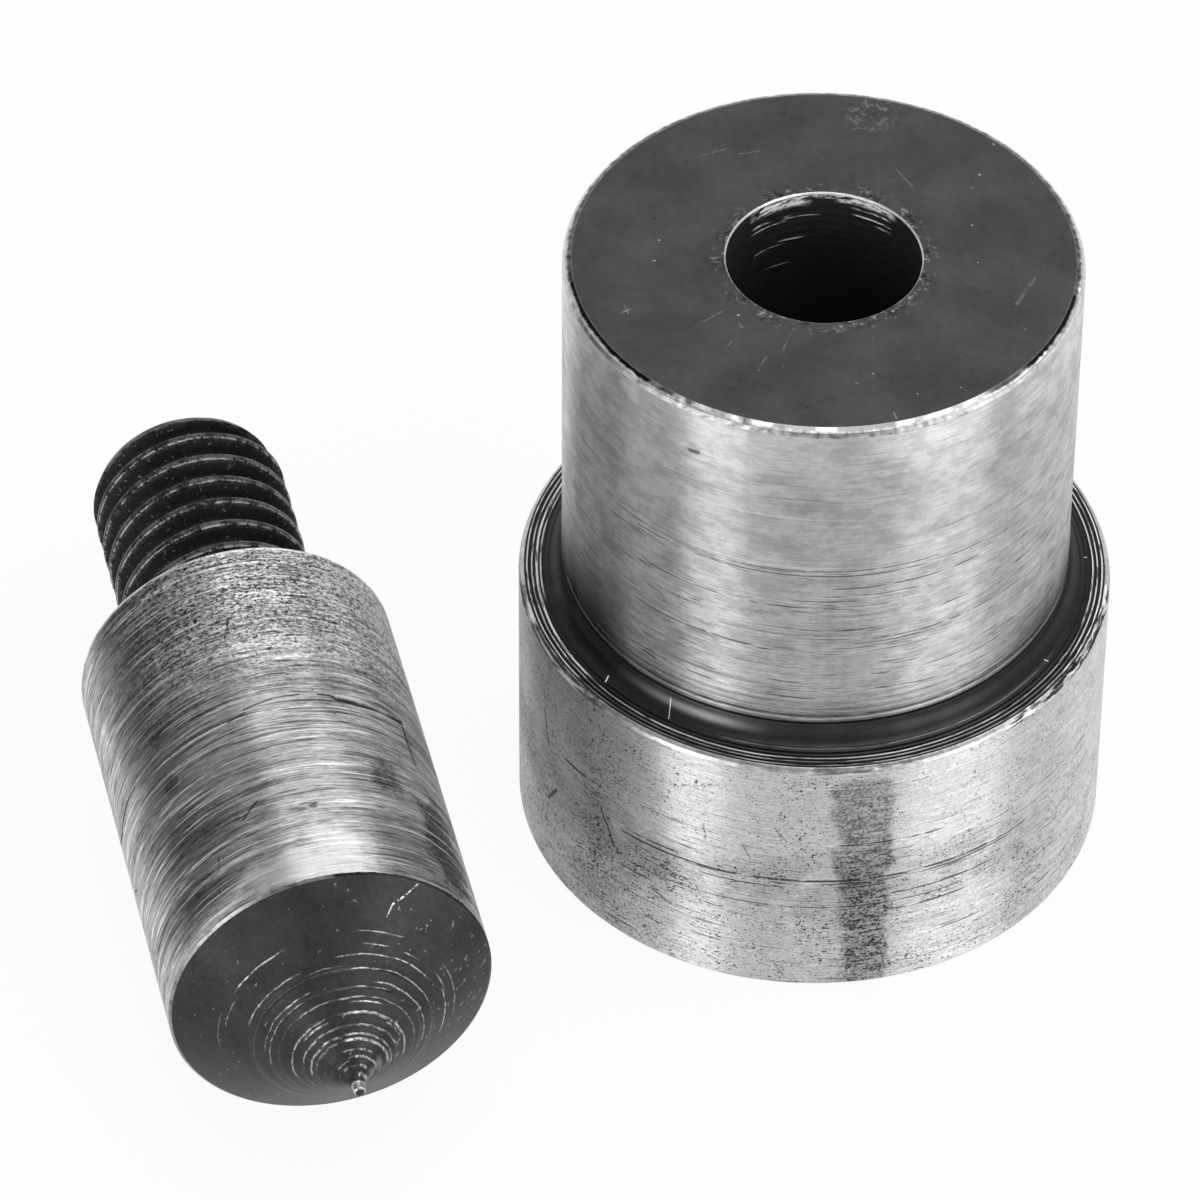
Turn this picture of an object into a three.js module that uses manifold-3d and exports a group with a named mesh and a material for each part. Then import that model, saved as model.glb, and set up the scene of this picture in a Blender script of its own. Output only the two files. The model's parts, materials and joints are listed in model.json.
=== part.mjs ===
// Two-piece die set for a grommet hand press: a bored lower die that stands on
// its collar, and a cone-nosed upper die that lies beside it on the bench.
// Lengths are in millimetres and +Z is up. The origin is the centre of the
// lower die's underside, which stands on the bench.

import * as THREE from 'three';
import { mergeVertices } from 'three/addons/utils/BufferGeometryUtils.js';
import Module from 'manifold-3d';

// Lower die: one turned piece, a post on a wider and shorter collar
const POST_DIAMETER = 24;
const POST_HEIGHT = 19.25;
const COLLAR_DIAMETER = 28.1;
const COLLAR_HEIGHT = 14.35;
const COVE_RADIUS = 1.15;
const FACE_BEVEL_WIDTH = 0.42;
const FACE_BEVEL_DROP = 0.22;
const LAND_BEVEL_WIDTH = 0.24;
const LAND_BEVEL_DROP = 0.2;
const BASE_BEVEL = 0.2;

// Bore of the lower die, drilled from the working face
const BORE_DIAMETER = 9;
const BORE_DEPTH = 22;
const BORE_MOUTH_BEVEL = 0.15;
const DRILL_POINT_ANGLE = THREE.MathUtils.degToRad(118);

// Upper die's body: a turned bar with a conical nose
const PUNCH_DIAMETER = 15.2;
const PUNCH_LENGTH = 22.5;
const PUNCH_SHOULDER_BEVEL = 0.28;
const NOSE_LENGTH = 6.3;
const NOSE_EDGE_BEVEL = 0.12;
const NOSE_PIP_RADIUS = 0.22;
const NOSE_PIP_LENGTH = 0.3;
const NOSE_LEDGE = 0.08;

// Radii of the ledges that the turning tool left on the nose
const NOSE_LEDGE_SHARES = [0.08, 0.155, 0.235, 0.35, 0.42, 0.5, 0.625, 0.73];

// Threaded stud: 3/8 inch coarse thread, 16 turns to the inch
const STUD_DIAMETER = 9.525;
const STUD_PITCH = 1.5875;
const STUD_PROJECTION = 12.9;
const STUD_SEAT_DEPTH = 11;
const STUD_END_BEVEL_WIDTH = 0.42;
const STUD_END_BEVEL_LENGTH = 0.9;
const THREAD_FLANK_ANGLE = THREE.MathUtils.degToRad(30);
const CUT_OVERRUN = 0.5;

// Widths of the flat crest, the flat root and each flank, as shares of the pitch
const CREST_SHARE = 0.22;
const ROOT_SHARE = 0.22;
const FLANK_SHARE = (1 - CREST_SHARE - ROOT_SHARE) / 2;

// Turns that the rough screw runs past each end before it is trimmed
const SPARE_TURNS = 2;

// Tapped hole in the upper die's shoulder, clear of the stud all round. Its drill
// is wider than the tap's root, so the ridges of its thread are cut short.
const STUD_CLEARANCE = 0.3;
const TAP_DRILL_ALLOWANCE = 0.1;
const TAPPED_HOLE_MOUTH_BEVEL = 0.4;

// Where the upper die lies: the centre of its nose rim on the bench, and the
// angle from +Y towards -X at which its stud points
const PUNCH_X = -22.45;
const PUNCH_Y = -21.85;
const PUNCH_HEADING = THREE.MathUtils.degToRad(13.4);

// Facets round each turned surface, per turn of the thread and in each cove
const TURNED_FACETS = 80;
const THREAD_FACETS = 32;
const COVE_FACETS = 8;

const brightSteel = { color: 0xb9b9b9, roughness: 0.34, metalness: 1 };
const greySteel = { color: 0xa6a6a6, roughness: 0.4, metalness: 1 };
const blackSteel = { color: 0x242424, roughness: 0.55, metalness: 0.9 };

const wasm = await Module();
wasm.setup();

// A named mesh with its own material
function namedMesh(name, geometry, finish) {
  const mesh = new THREE.Mesh(geometry, new THREE.MeshStandardMaterial(finish));
  mesh.name = name;
  return mesh;
}

// Revolves an outline of [radius, height] pairs about Z. The outline runs from
// the axis at the bottom, up the outside and back to the axis.
function turned(outline, facets = TURNED_FACETS) {
  const points = outline.map(([radius, height]) => new THREE.Vector2(radius, height));
  const geometry = new THREE.LatheGeometry(points, facets);
  geometry.rotateX(Math.PI / 2);
  return geometry;
}

// Points of a circular arc in the outline, ends included
function arc(centreRadius, centreHeight, radius, fromAngle, toAngle) {
  const curve = new THREE.Path();
  curve.absarc(centreRadius, centreHeight, radius, fromAngle, toAngle, toAngle < fromAngle);
  return curve.getPoints(COVE_FACETS).map((point) => [point.x, point.y]);
}

// Depth of the cone that a drill's point leaves under a hole
function drillPointDepth(holeRadius) {
  return holeRadius / Math.tan(DRILL_POINT_ANGLE / 2);
}

// A solid for joining and cutting, from a closed geometry
function toSolid(geometry) {
  const bare = geometry.clone();
  bare.deleteAttribute('normal');
  bare.deleteAttribute('uv');
  const merged = mergeVertices(bare);
  const mesh = new wasm.Mesh({
    numProp: 3,
    vertProperties: new Float32Array(merged.attributes.position.array),
    triVerts: new Uint32Array(merged.index.array),
  });
  return new wasm.Manifold(mesh);
}

// The geometry of a joined or cut solid
function toGeometry(solid) {
  const { vertProperties, triVerts } = solid.getMesh();
  const geometry = new THREE.BufferGeometry();
  geometry.setAttribute('position', new THREE.BufferAttribute(vertProperties, 3));
  geometry.setIndex(new THREE.BufferAttribute(triVerts, 1));
  geometry.computeVertexNormals();
  return geometry;
}

// Depth of the thread from its crest to its root
function threadDepth() {
  return (FLANK_SHARE * STUD_PITCH) / Math.tan(THREAD_FLANK_ANGLE);
}

// A right-hand screw of full thread between two heights, with rough ends that
// are cut off later. A crest faces straight up on the lying die at height zero.
function screw(crestRadius, fromHeight, toHeight) {
  const upwardAngle = -Math.PI / 2;
  const rootRadius = crestRadius - threadDepth();
  const form = [
    { share: -CREST_SHARE / 2, radius: crestRadius },
    { share: CREST_SHARE / 2, radius: crestRadius },
    { share: CREST_SHARE / 2 + FLANK_SHARE, radius: rootRadius },
    { share: CREST_SHARE / 2 + FLANK_SHARE + ROOT_SHARE, radius: rootRadius },
  ];
  const firstTurn = Math.floor(fromHeight / STUD_PITCH) - SPARE_TURNS;
  const lastTurn = Math.ceil(toHeight / STUD_PITCH) + SPARE_TURNS;
  const rows = (lastTurn - firstTurn) * form.length;
  const positions = [];
  for (let column = 0; column < THREAD_FACETS; column += 1) {
    const angle = upwardAngle + (2 * Math.PI * column) / THREAD_FACETS;
    for (let row = 0; row < rows; row += 1) {
      const corner = form[row % form.length];
      const turn = firstTurn + Math.floor(row / form.length) + column / THREAD_FACETS;
      const height = STUD_PITCH * (turn + corner.share);
      positions.push(corner.radius * Math.cos(angle), corner.radius * Math.sin(angle), height);
    }
  }
  const vertex = (column, row) => {
    const wrapped = column === THREAD_FACETS;
    return wrapped ? row + form.length : column * rows + row;
  };
  const faces = [];
  for (let column = 0; column < THREAD_FACETS; column += 1) {
    const sharedRows = column === THREAD_FACETS - 1 ? rows - form.length : rows;
    for (let row = 0; row + 1 < sharedRows; row += 1) {
      const low = vertex(column, row);
      const high = vertex(column, row + 1);
      const nextLow = vertex(column + 1, row);
      const nextHigh = vertex(column + 1, row + 1);
      faces.push(low, nextLow, nextHigh, low, nextHigh, high);
    }
  }
  // The two rough ends are fans from the axis over the open edges
  const bottomEdge = [];
  const topEdge = [];
  for (let column = 0; column < THREAD_FACETS; column += 1) {
    bottomEdge.push(vertex(column, 0));
    topEdge.push(vertex(column, rows - 1));
  }
  for (let step = 0; step < form.length; step += 1) {
    bottomEdge.push(vertex(0, form.length - step));
    topEdge.push(vertex(THREAD_FACETS - 1, rows - 2 - step));
  }
  const bottomCentre = positions.length / 3;
  positions.push(0, 0, STUD_PITCH * (firstTurn - SPARE_TURNS));
  const topCentre = positions.length / 3;
  positions.push(0, 0, STUD_PITCH * (lastTurn + SPARE_TURNS));
  const fan = (edge, centre, upward) => {
    edge.forEach((from, index) => {
      const to = edge[(index + 1) % edge.length];
      faces.push(centre, upward ? from : to, upward ? to : from);
    });
  };
  fan(bottomEdge, bottomCentre, false);
  fan(topEdge, topCentre, true);
  const geometry = new THREE.BufferGeometry();
  geometry.setAttribute('position', new THREE.Float32BufferAttribute(positions, 3));
  geometry.setIndex(faces);
  return geometry;
}

// The bored post on its collar, with a cove where the post meets the land
function lowerDie() {
  const postRadius = POST_DIAMETER / 2;
  const collarRadius = COLLAR_DIAMETER / 2;
  const boreRadius = BORE_DIAMETER / 2;
  const faceHeight = COLLAR_HEIGHT + POST_HEIGHT;
  const boreFloor = faceHeight - BORE_DEPTH;
  const coveCentreRadius = postRadius + COVE_RADIUS;
  const coveCentreHeight = COLLAR_HEIGHT + COVE_RADIUS;
  return turned([
    [0, 0],
    [collarRadius - BASE_BEVEL, 0],
    [collarRadius, BASE_BEVEL],
    [collarRadius, COLLAR_HEIGHT - LAND_BEVEL_DROP],
    [collarRadius - LAND_BEVEL_WIDTH, COLLAR_HEIGHT],
    ...arc(coveCentreRadius, coveCentreHeight, COVE_RADIUS, 1.5 * Math.PI, Math.PI),
    [postRadius, faceHeight - FACE_BEVEL_DROP],
    [postRadius - FACE_BEVEL_WIDTH, faceHeight],
    [boreRadius + BORE_MOUTH_BEVEL, faceHeight],
    [boreRadius, faceHeight - BORE_MOUTH_BEVEL],
    [boreRadius, boreFloor],
    [0, boreFloor - drillPointDepth(boreRadius)],
  ]);
}

// The nose's outline from its tip to its rim: a cone cut in fine ledges
function noseOutline() {
  const rimRadius = PUNCH_DIAMETER / 2 - NOSE_EDGE_BEVEL;
  const coneLength = NOSE_LENGTH - NOSE_PIP_LENGTH;
  const coneHeight = (radius) => coneLength * (radius / rimRadius - 1);
  const outline = [
    [0, -NOSE_LENGTH],
    [NOSE_PIP_RADIUS, coneHeight(NOSE_PIP_RADIUS)],
  ];
  NOSE_LEDGE_SHARES.forEach((share) => {
    const radius = share * rimRadius;
    outline.push([radius, coneHeight(radius)], [radius, coneHeight(radius) + NOSE_LEDGE]);
  });
  outline.push([rimRadius, 0]);
  return outline;
}

// What is cut from the body for the stud, with the shoulder at height zero: a
// drill with its point and a countersunk mouth, and a tap in step with the stud
function tappedHole() {
  const tapRadius = STUD_DIAMETER / 2 + STUD_CLEARANCE;
  const drillRadius = tapRadius - threadDepth() + TAP_DRILL_ALLOWANCE;
  const mouthRadius = tapRadius + TAPPED_HOLE_MOUTH_BEVEL;
  const floor = -STUD_SEAT_DEPTH - STUD_CLEARANCE;
  const drill = turned([
    [0, floor - drillPointDepth(drillRadius)],
    [drillRadius, floor],
    [drillRadius, drillRadius - mouthRadius],
    [mouthRadius + CUT_OVERRUN, CUT_OVERRUN],
    [0, CUT_OVERRUN],
  ], THREAD_FACETS);
  const reach = turned([
    [0, floor],
    [tapRadius + CUT_OVERRUN, floor],
    [tapRadius + CUT_OVERRUN, CUT_OVERRUN],
    [0, CUT_OVERRUN],
  ], THREAD_FACETS);
  const tap = toSolid(screw(tapRadius, floor, CUT_OVERRUN)).intersect(toSolid(reach));
  return toSolid(drill).add(tap);
}

// The upper die's body, with its nose rim at height zero and its shoulder up
function punchBody() {
  const radius = PUNCH_DIAMETER / 2;
  const bar = turned([
    ...noseOutline(),
    [radius, NOSE_EDGE_BEVEL],
    [radius, PUNCH_LENGTH - PUNCH_SHOULDER_BEVEL],
    [radius - PUNCH_SHOULDER_BEVEL, PUNCH_LENGTH],
    [0, PUNCH_LENGTH],
  ]);
  return toGeometry(toSolid(bar).subtract(tappedHole().translate([0, 0, PUNCH_LENGTH])));
}

// The stud, seated in the body: a screw trimmed to its length and bevelled at
// both ends. The trimming blank stands proud of the crests, and its bevels keep
// their slope out there.
function threadedStud() {
  const radius = STUD_DIAMETER / 2;
  const proudLength = (CUT_OVERRUN * STUD_END_BEVEL_LENGTH) / STUD_END_BEVEL_WIDTH;
  const bevelLength = STUD_END_BEVEL_LENGTH + proudLength;
  const blank = turned([
    [0, -STUD_SEAT_DEPTH],
    [radius - STUD_END_BEVEL_WIDTH, -STUD_SEAT_DEPTH],
    [radius + CUT_OVERRUN, bevelLength - STUD_SEAT_DEPTH],
    [radius + CUT_OVERRUN, STUD_PROJECTION - bevelLength],
    [radius - STUD_END_BEVEL_WIDTH, STUD_PROJECTION],
    [0, STUD_PROJECTION],
  ], THREAD_FACETS);
  const thread = toSolid(screw(radius, -STUD_SEAT_DEPTH, STUD_PROJECTION));
  const geometry = toGeometry(thread.intersect(toSolid(blank)));
  geometry.translate(0, 0, PUNCH_LENGTH);
  return geometry;
}

const lyingUpperDie = new THREE.Group();
lyingUpperDie.rotation.x = -Math.PI / 2;
lyingUpperDie.add(namedMesh('punch_body', punchBody(), greySteel));
lyingUpperDie.add(namedMesh('threaded_stud', threadedStud(), blackSteel));

const upperDie = new THREE.Group();
upperDie.position.set(PUNCH_X, PUNCH_Y, PUNCH_DIAMETER / 2);
upperDie.rotation.z = PUNCH_HEADING;
upperDie.add(lyingUpperDie);

const dieSet = new THREE.Group();
dieSet.add(namedMesh('lower_die', lowerDie(), brightSteel));
dieSet.add(upperDie);

export default dieSet;
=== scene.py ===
# Looks of a grommet press die set: a bored lower die standing on its collar,
# and a cone-nosed upper die with a threaded stud lying beside it.
# Lengths are in metres unless a name or a comment says millimetres.

import json
import math

import bmesh
import bpy
import numpy as np
from mathutils import Matrix, Vector

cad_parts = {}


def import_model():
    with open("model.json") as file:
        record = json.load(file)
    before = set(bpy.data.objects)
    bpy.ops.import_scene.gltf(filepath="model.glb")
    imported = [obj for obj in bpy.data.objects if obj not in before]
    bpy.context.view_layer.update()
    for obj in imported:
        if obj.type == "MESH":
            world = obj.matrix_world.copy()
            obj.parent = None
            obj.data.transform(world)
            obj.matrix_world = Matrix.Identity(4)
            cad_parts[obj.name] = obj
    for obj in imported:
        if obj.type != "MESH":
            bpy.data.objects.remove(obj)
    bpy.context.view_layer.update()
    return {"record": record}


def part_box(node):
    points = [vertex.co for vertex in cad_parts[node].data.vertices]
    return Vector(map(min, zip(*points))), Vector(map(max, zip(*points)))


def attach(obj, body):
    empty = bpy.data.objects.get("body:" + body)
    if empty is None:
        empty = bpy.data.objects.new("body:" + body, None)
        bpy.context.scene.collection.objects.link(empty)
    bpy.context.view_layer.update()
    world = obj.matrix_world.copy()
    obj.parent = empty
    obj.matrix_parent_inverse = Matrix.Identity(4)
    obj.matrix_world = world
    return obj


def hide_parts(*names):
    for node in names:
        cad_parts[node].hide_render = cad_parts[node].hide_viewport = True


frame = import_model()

MM = 0.001

# Lower die, with its overall sizes from the frame
LOWER_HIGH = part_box("lower_die")[1]
COLLAR_RADIUS = LOWER_HIGH.x
FACE_HEIGHT = LOWER_HIGH.z
POST_RADIUS = 12 * MM
COLLAR_HEIGHT = 14.35 * MM
COVE_RADIUS = 1.15 * MM
FACE_BEVEL_WIDTH = 0.42 * MM
FACE_EDGE_DROP = 0.32 * MM
FACE_WORN_WIDTH = 0.12 * MM
FACE_WORN_DROP = 0.12 * MM
LAND_BEVEL_WIDTH = 0.24 * MM
LAND_EDGE_DROP = 0.30 * MM
LAND_WORN_WIDTH = 0.1 * MM
LAND_WORN_DROP = 0.12 * MM
BASE_BEVEL = 0.2 * MM
BORE_RADIUS = 4.5 * MM
BORE_DEPTH = 22 * MM
BORE_MOUTH_BEVEL = 0.07 * MM
DRILL_POINT_SLOPE = math.tan(math.radians(31))

# Upper die, with its place and heading from its shoulder's mount
SHOULDER = next(m for m in frame["record"]["mounts"] if m["name"] == "punch_shoulder")
PUNCH_AXIS = Vector(SHOULDER["axis"]).normalized()
PUNCH_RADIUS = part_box("punch_body")[1].z / 2
PUNCH_LENGTH = 22.5 * MM
SHOULDER_BEVEL = 0.28 * MM
NOSE_LENGTH = 6.3 * MM
NOSE_EDGE_BEVEL = 0.12 * MM
NOSE_PIP_LENGTH = 0.3 * MM
STUD_RADIUS = 4.7625 * MM
STUD_PITCH = 1.5875 * MM
STUD_PROJECTION = 12.9 * MM
STUD_SEAT_DEPTH = 11 * MM
STUD_CLEARANCE = 0.3 * MM
STUD_END_BEVEL_WIDTH = 0.42 * MM
STUD_END_BEVEL_LENGTH = 0.9 * MM
CREST_SHARE = 0.22
ROOT_SHARE = 0.22
THREAD_SLOPE = math.tan(math.radians(30))
HOLE_MOUTH_BEVEL = 0.4 * MM

# Camera, fitted to the photograph: a long lens looking down and along +Y
CAMERA_PLACE = Vector((-10.17, -270.65, 269.09)) * MM
CAMERA_DOWN_ANGLE = 0.760
CAMERA_ROLL = 0.0056
SENSOR_WIDTH_MM = 36
PHOTO_WIDTH_PX = 1200
FOCAL_LENGTH_PX = 7826

TURN = 2 * math.pi


# Geometry

class Outline:
    """A turned outline of corners, sampled finely, with small rounds at the corners.

    Each row of the result has a radius, a height and a wear from 0 to 1 that is highest on
    the rounds. Each band between two rows has the name of its surface."""

    def __init__(self, radius, height):
        self.rows = [(radius, height, 0.0)]
        self.bands = []
        self.corner = np.array([radius, height])
        self.pending = None

    def to(self, radius, height, surface, step, rounding=0.0, round_surface=None, points=4, worn=1.0):
        """A straight run to a corner. The next call gives the direction that it turns to."""
        target = np.array([radius, height])
        if self.pending is not None:
            self._turn_corner(target)
        self.pending = {
            "corner": target, "surface": surface, "step": step, "rounding": rounding,
            "round_surface": round_surface or surface, "points": points, "worn": worn,
        }

    def _turn_corner(self, target):
        run = self.pending
        corner = run["corner"]
        inward = corner - self.corner
        outward = target - corner
        inward = inward / np.linalg.norm(inward)
        outward = outward / np.linalg.norm(outward)
        half_turn = math.acos(float(np.clip(inward @ outward, -1, 1))) / 2
        setback = run["rounding"] * math.tan(half_turn)
        start = corner - inward * setback
        self._straight(start, run["surface"], run["step"])
        if run["rounding"] > 0:
            end = corner + outward * setback
            middle = (outward - inward) / np.linalg.norm(outward - inward)
            centre = corner + middle * run["rounding"] / math.cos(half_turn)
            self._arc(centre, start, end, run)
        self.corner = corner

    def _straight(self, end, surface, step):
        start = np.array(self.rows[-1][:2])
        count = max(1, math.ceil(np.linalg.norm(end - start) / step))
        for share in np.linspace(0, 1, count + 1)[1:]:
            point = start + (end - start) * share
            self.rows.append((point[0], point[1], 0.0))
            self.bands.append(surface)

    def _arc(self, centre, start, end, run):
        first = start - centre
        last = end - centre
        angle = math.acos(float(np.clip(first @ last / (first @ first), -1, 1)))
        for share in np.linspace(0, 1, run["points"] + 1)[1:]:
            weights = np.sin([(1 - share) * angle, share * angle]) / math.sin(angle)
            point = centre + weights[0] * first + weights[1] * last
            wear = run["worn"] * math.sin(math.pi * share)
            self.rows.append((point[0], point[1], wear))
            self.bands.append(run["round_surface"])

    def end(self):
        """The finished rows and bands. The last corner is on the axis."""
        run = self.pending
        self._straight(run["corner"], run["surface"], run["step"])
        return np.array(self.rows), self.bands


def wave(angle, seed, fewest, most, count=14):
    """A periodic wavering round the axis, about -1 to 1, the same for the same seed."""
    rng = np.random.default_rng(seed)
    total = np.zeros_like(angle)
    for _ in range(count):
        total = total + np.cos(rng.integers(fewest, most + 1) * angle + rng.uniform(0, TURN))
    return total / math.sqrt(count)


def bump(value, centre, width):
    """A smooth hump of height 1 and about that width round a centre."""
    return np.exp(-((value - centre) / width) ** 2)


def angle_gap(angle, degrees):
    """The signed gap in degrees from an angle round the axis."""
    return (np.degrees(angle) - degrees + 180) % 360 - 180


def skin(name, rows, bands, segments, relief, surfaces, place):
    """A closed mesh turned about local Z, moved along its normals by the relief, with each
    band in the material of its surface, laid at its place. Angle 0 faces local -Y and grows
    towards +X."""
    radius, height, wear = rows[1:-1, 0], rows[1:-1, 1], rows[1:-1, 2]
    along = np.gradient(rows[:, :2], axis=0)[1:-1]
    along = along / np.linalg.norm(along, axis=1, keepdims=True)
    normal_radius, normal_height = along[:, 1:2], -along[:, 0:1]
    angle = (TURN * np.arange(segments) / segments)[None, :]
    shift = relief(angle, radius[:, None], height[:, None])
    ring_radius = radius[:, None] + shift * normal_radius
    ring_height = height[:, None] + shift * normal_height + 0 * angle
    points = np.stack(
        [ring_radius * np.sin(angle), -ring_radius * np.cos(angle), ring_height], axis=-1
    ).reshape(-1, 3)
    bottom, top = len(points), len(points) + 1
    points = np.vstack([points, [0, 0, rows[0, 1]], [0, 0, rows[-1, 1]]])
    names = list(surfaces)
    faces = []
    slots = []
    for row in range(len(radius) - 1):
        low, high = row * segments, (row + 1) * segments
        for step in range(segments):
            after = (step + 1) % segments
            faces.append((low + step, low + after, high + after, high + step))
        slots += [names.index(bands[row + 1])] * segments
    last = (len(radius) - 1) * segments
    for step in range(segments):
        after = (step + 1) % segments
        faces.append((bottom, after, step))
        faces.append((top, last + step, last + after))
        slots += [names.index(bands[0]), names.index(bands[-1])]
    wears = np.append(np.repeat(wear, segments), [0, 0])
    piece = add_piece(name, points, faces, slots, wears, surfaces)
    piece.data.transform(place)
    return piece


def add_piece(name, points, faces, slots, wears, surfaces):
    """A smooth-shaded mesh object with its materials and its wear on each vertex."""
    mesh = bpy.data.meshes.new(name)
    mesh.from_pydata([tuple(point) for point in points], [], faces)
    mesh.polygons.foreach_set("material_index", slots)
    mesh.polygons.foreach_set("use_smooth", [True] * len(faces))
    mesh.attributes.new("wear", "FLOAT", "POINT").data.foreach_set("value", wears)
    for material in surfaces.values():
        mesh.materials.append(material)
    mesh.update()
    piece = bpy.data.objects.new(name, mesh)
    bpy.context.scene.collection.objects.link(piece)
    return piece


# Materials

class Field:
    """A number or vector at each point of a surface: a node's output, on which operators and
    the methods here build further nodes. A mask is 0 to 1, and a | b is the stronger one."""

    def __init__(self, nodes, socket):
        self.nodes = nodes
        self.socket = socket

    def __add__(self, other):
        return self.nodes.math("ADD", self, other)

    def __sub__(self, other):
        return self.nodes.math("SUBTRACT", self, other)

    def __mul__(self, other):
        return self.nodes.math("MULTIPLY", self, other)

    def __or__(self, other):
        return self.nodes.math("MAXIMUM", self, other)

    def __abs__(self):
        return self.nodes.math("ABSOLUTE", self)

    __radd__ = __add__
    __ror__ = __or__

    def ramp(self, low, high, bottom=0.0, top=1.0):
        """A smooth step from bottom to top as this goes from low to high."""
        inputs = {"Value": self, "From Min": low, "From Max": high, "To Min": bottom, "To Max": top}
        settings = {"interpolation_type": "SMOOTHSTEP"}
        return self.nodes.field("ShaderNodeMapRange", inputs, "Result", **settings)

    def blend(self, low, high):
        """Low where this is 0 and high where it is 1."""
        return self.nodes.field("ShaderNodeMix", {0: self, 2: low, 3: high}, data_type="FLOAT")

    def swing(self, amount):
        """Noise turned to a term that swings round 0 by so much."""
        return (self - NOISE_MIDDLE) * amount

    def shade(self, left):
        """A factor that is 1 where this mask is 0, and the share that is left where it is 1."""
        return self.blend(1.0, left)


class Nodes:
    """The nodes of a material or a world, made anew."""

    def __init__(self, owner):
        owner.use_nodes = True
        self.tree = owner.node_tree
        self.tree.nodes.clear()

    def node(self, kind, inputs=(), **settings):
        """A new node, with its settings, and with its inputs set or linked to fields."""
        made = self.tree.nodes.new(kind)
        for key, value in settings.items():
            setattr(made, key, value)
        for socket, value in dict(inputs).items():
            if isinstance(value, Field):
                self.tree.links.new(value.socket, made.inputs[socket])
            else:
                made.inputs[socket].default_value = value
        return made

    def field(self, kind, inputs=(), output=0, **settings):
        """One output of a new node."""
        return Field(self, self.node(kind, inputs, **settings).outputs[output])

    def math(self, operation, first, second=0.0):
        return self.field("ShaderNodeMath", {0: first, 1: second}, operation=operation)

    def vector(self, x, y, z=0.0):
        return self.field("ShaderNodeCombineXYZ", {0: x, 1: y, 2: z})

    def vector_math(self, operation, first, second=(0, 0, 0)):
        output = "Value" if operation in ("DOT_PRODUCT", "LENGTH", "DISTANCE") else "Vector"
        inputs = {0: first, 1: second}
        return self.field("ShaderNodeVectorMath", inputs, output, operation=operation)

    def scaled(self, vector, scale):
        inputs = {0: vector, "Scale": scale}
        return self.field("ShaderNodeVectorMath", inputs, "Vector", operation="SCALE")

    def parts(self, vector):
        """The x, y and z of a vector."""
        made = self.node("ShaderNodeSeparateXYZ", {0: vector})
        return [Field(self, output) for output in made.outputs]


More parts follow.
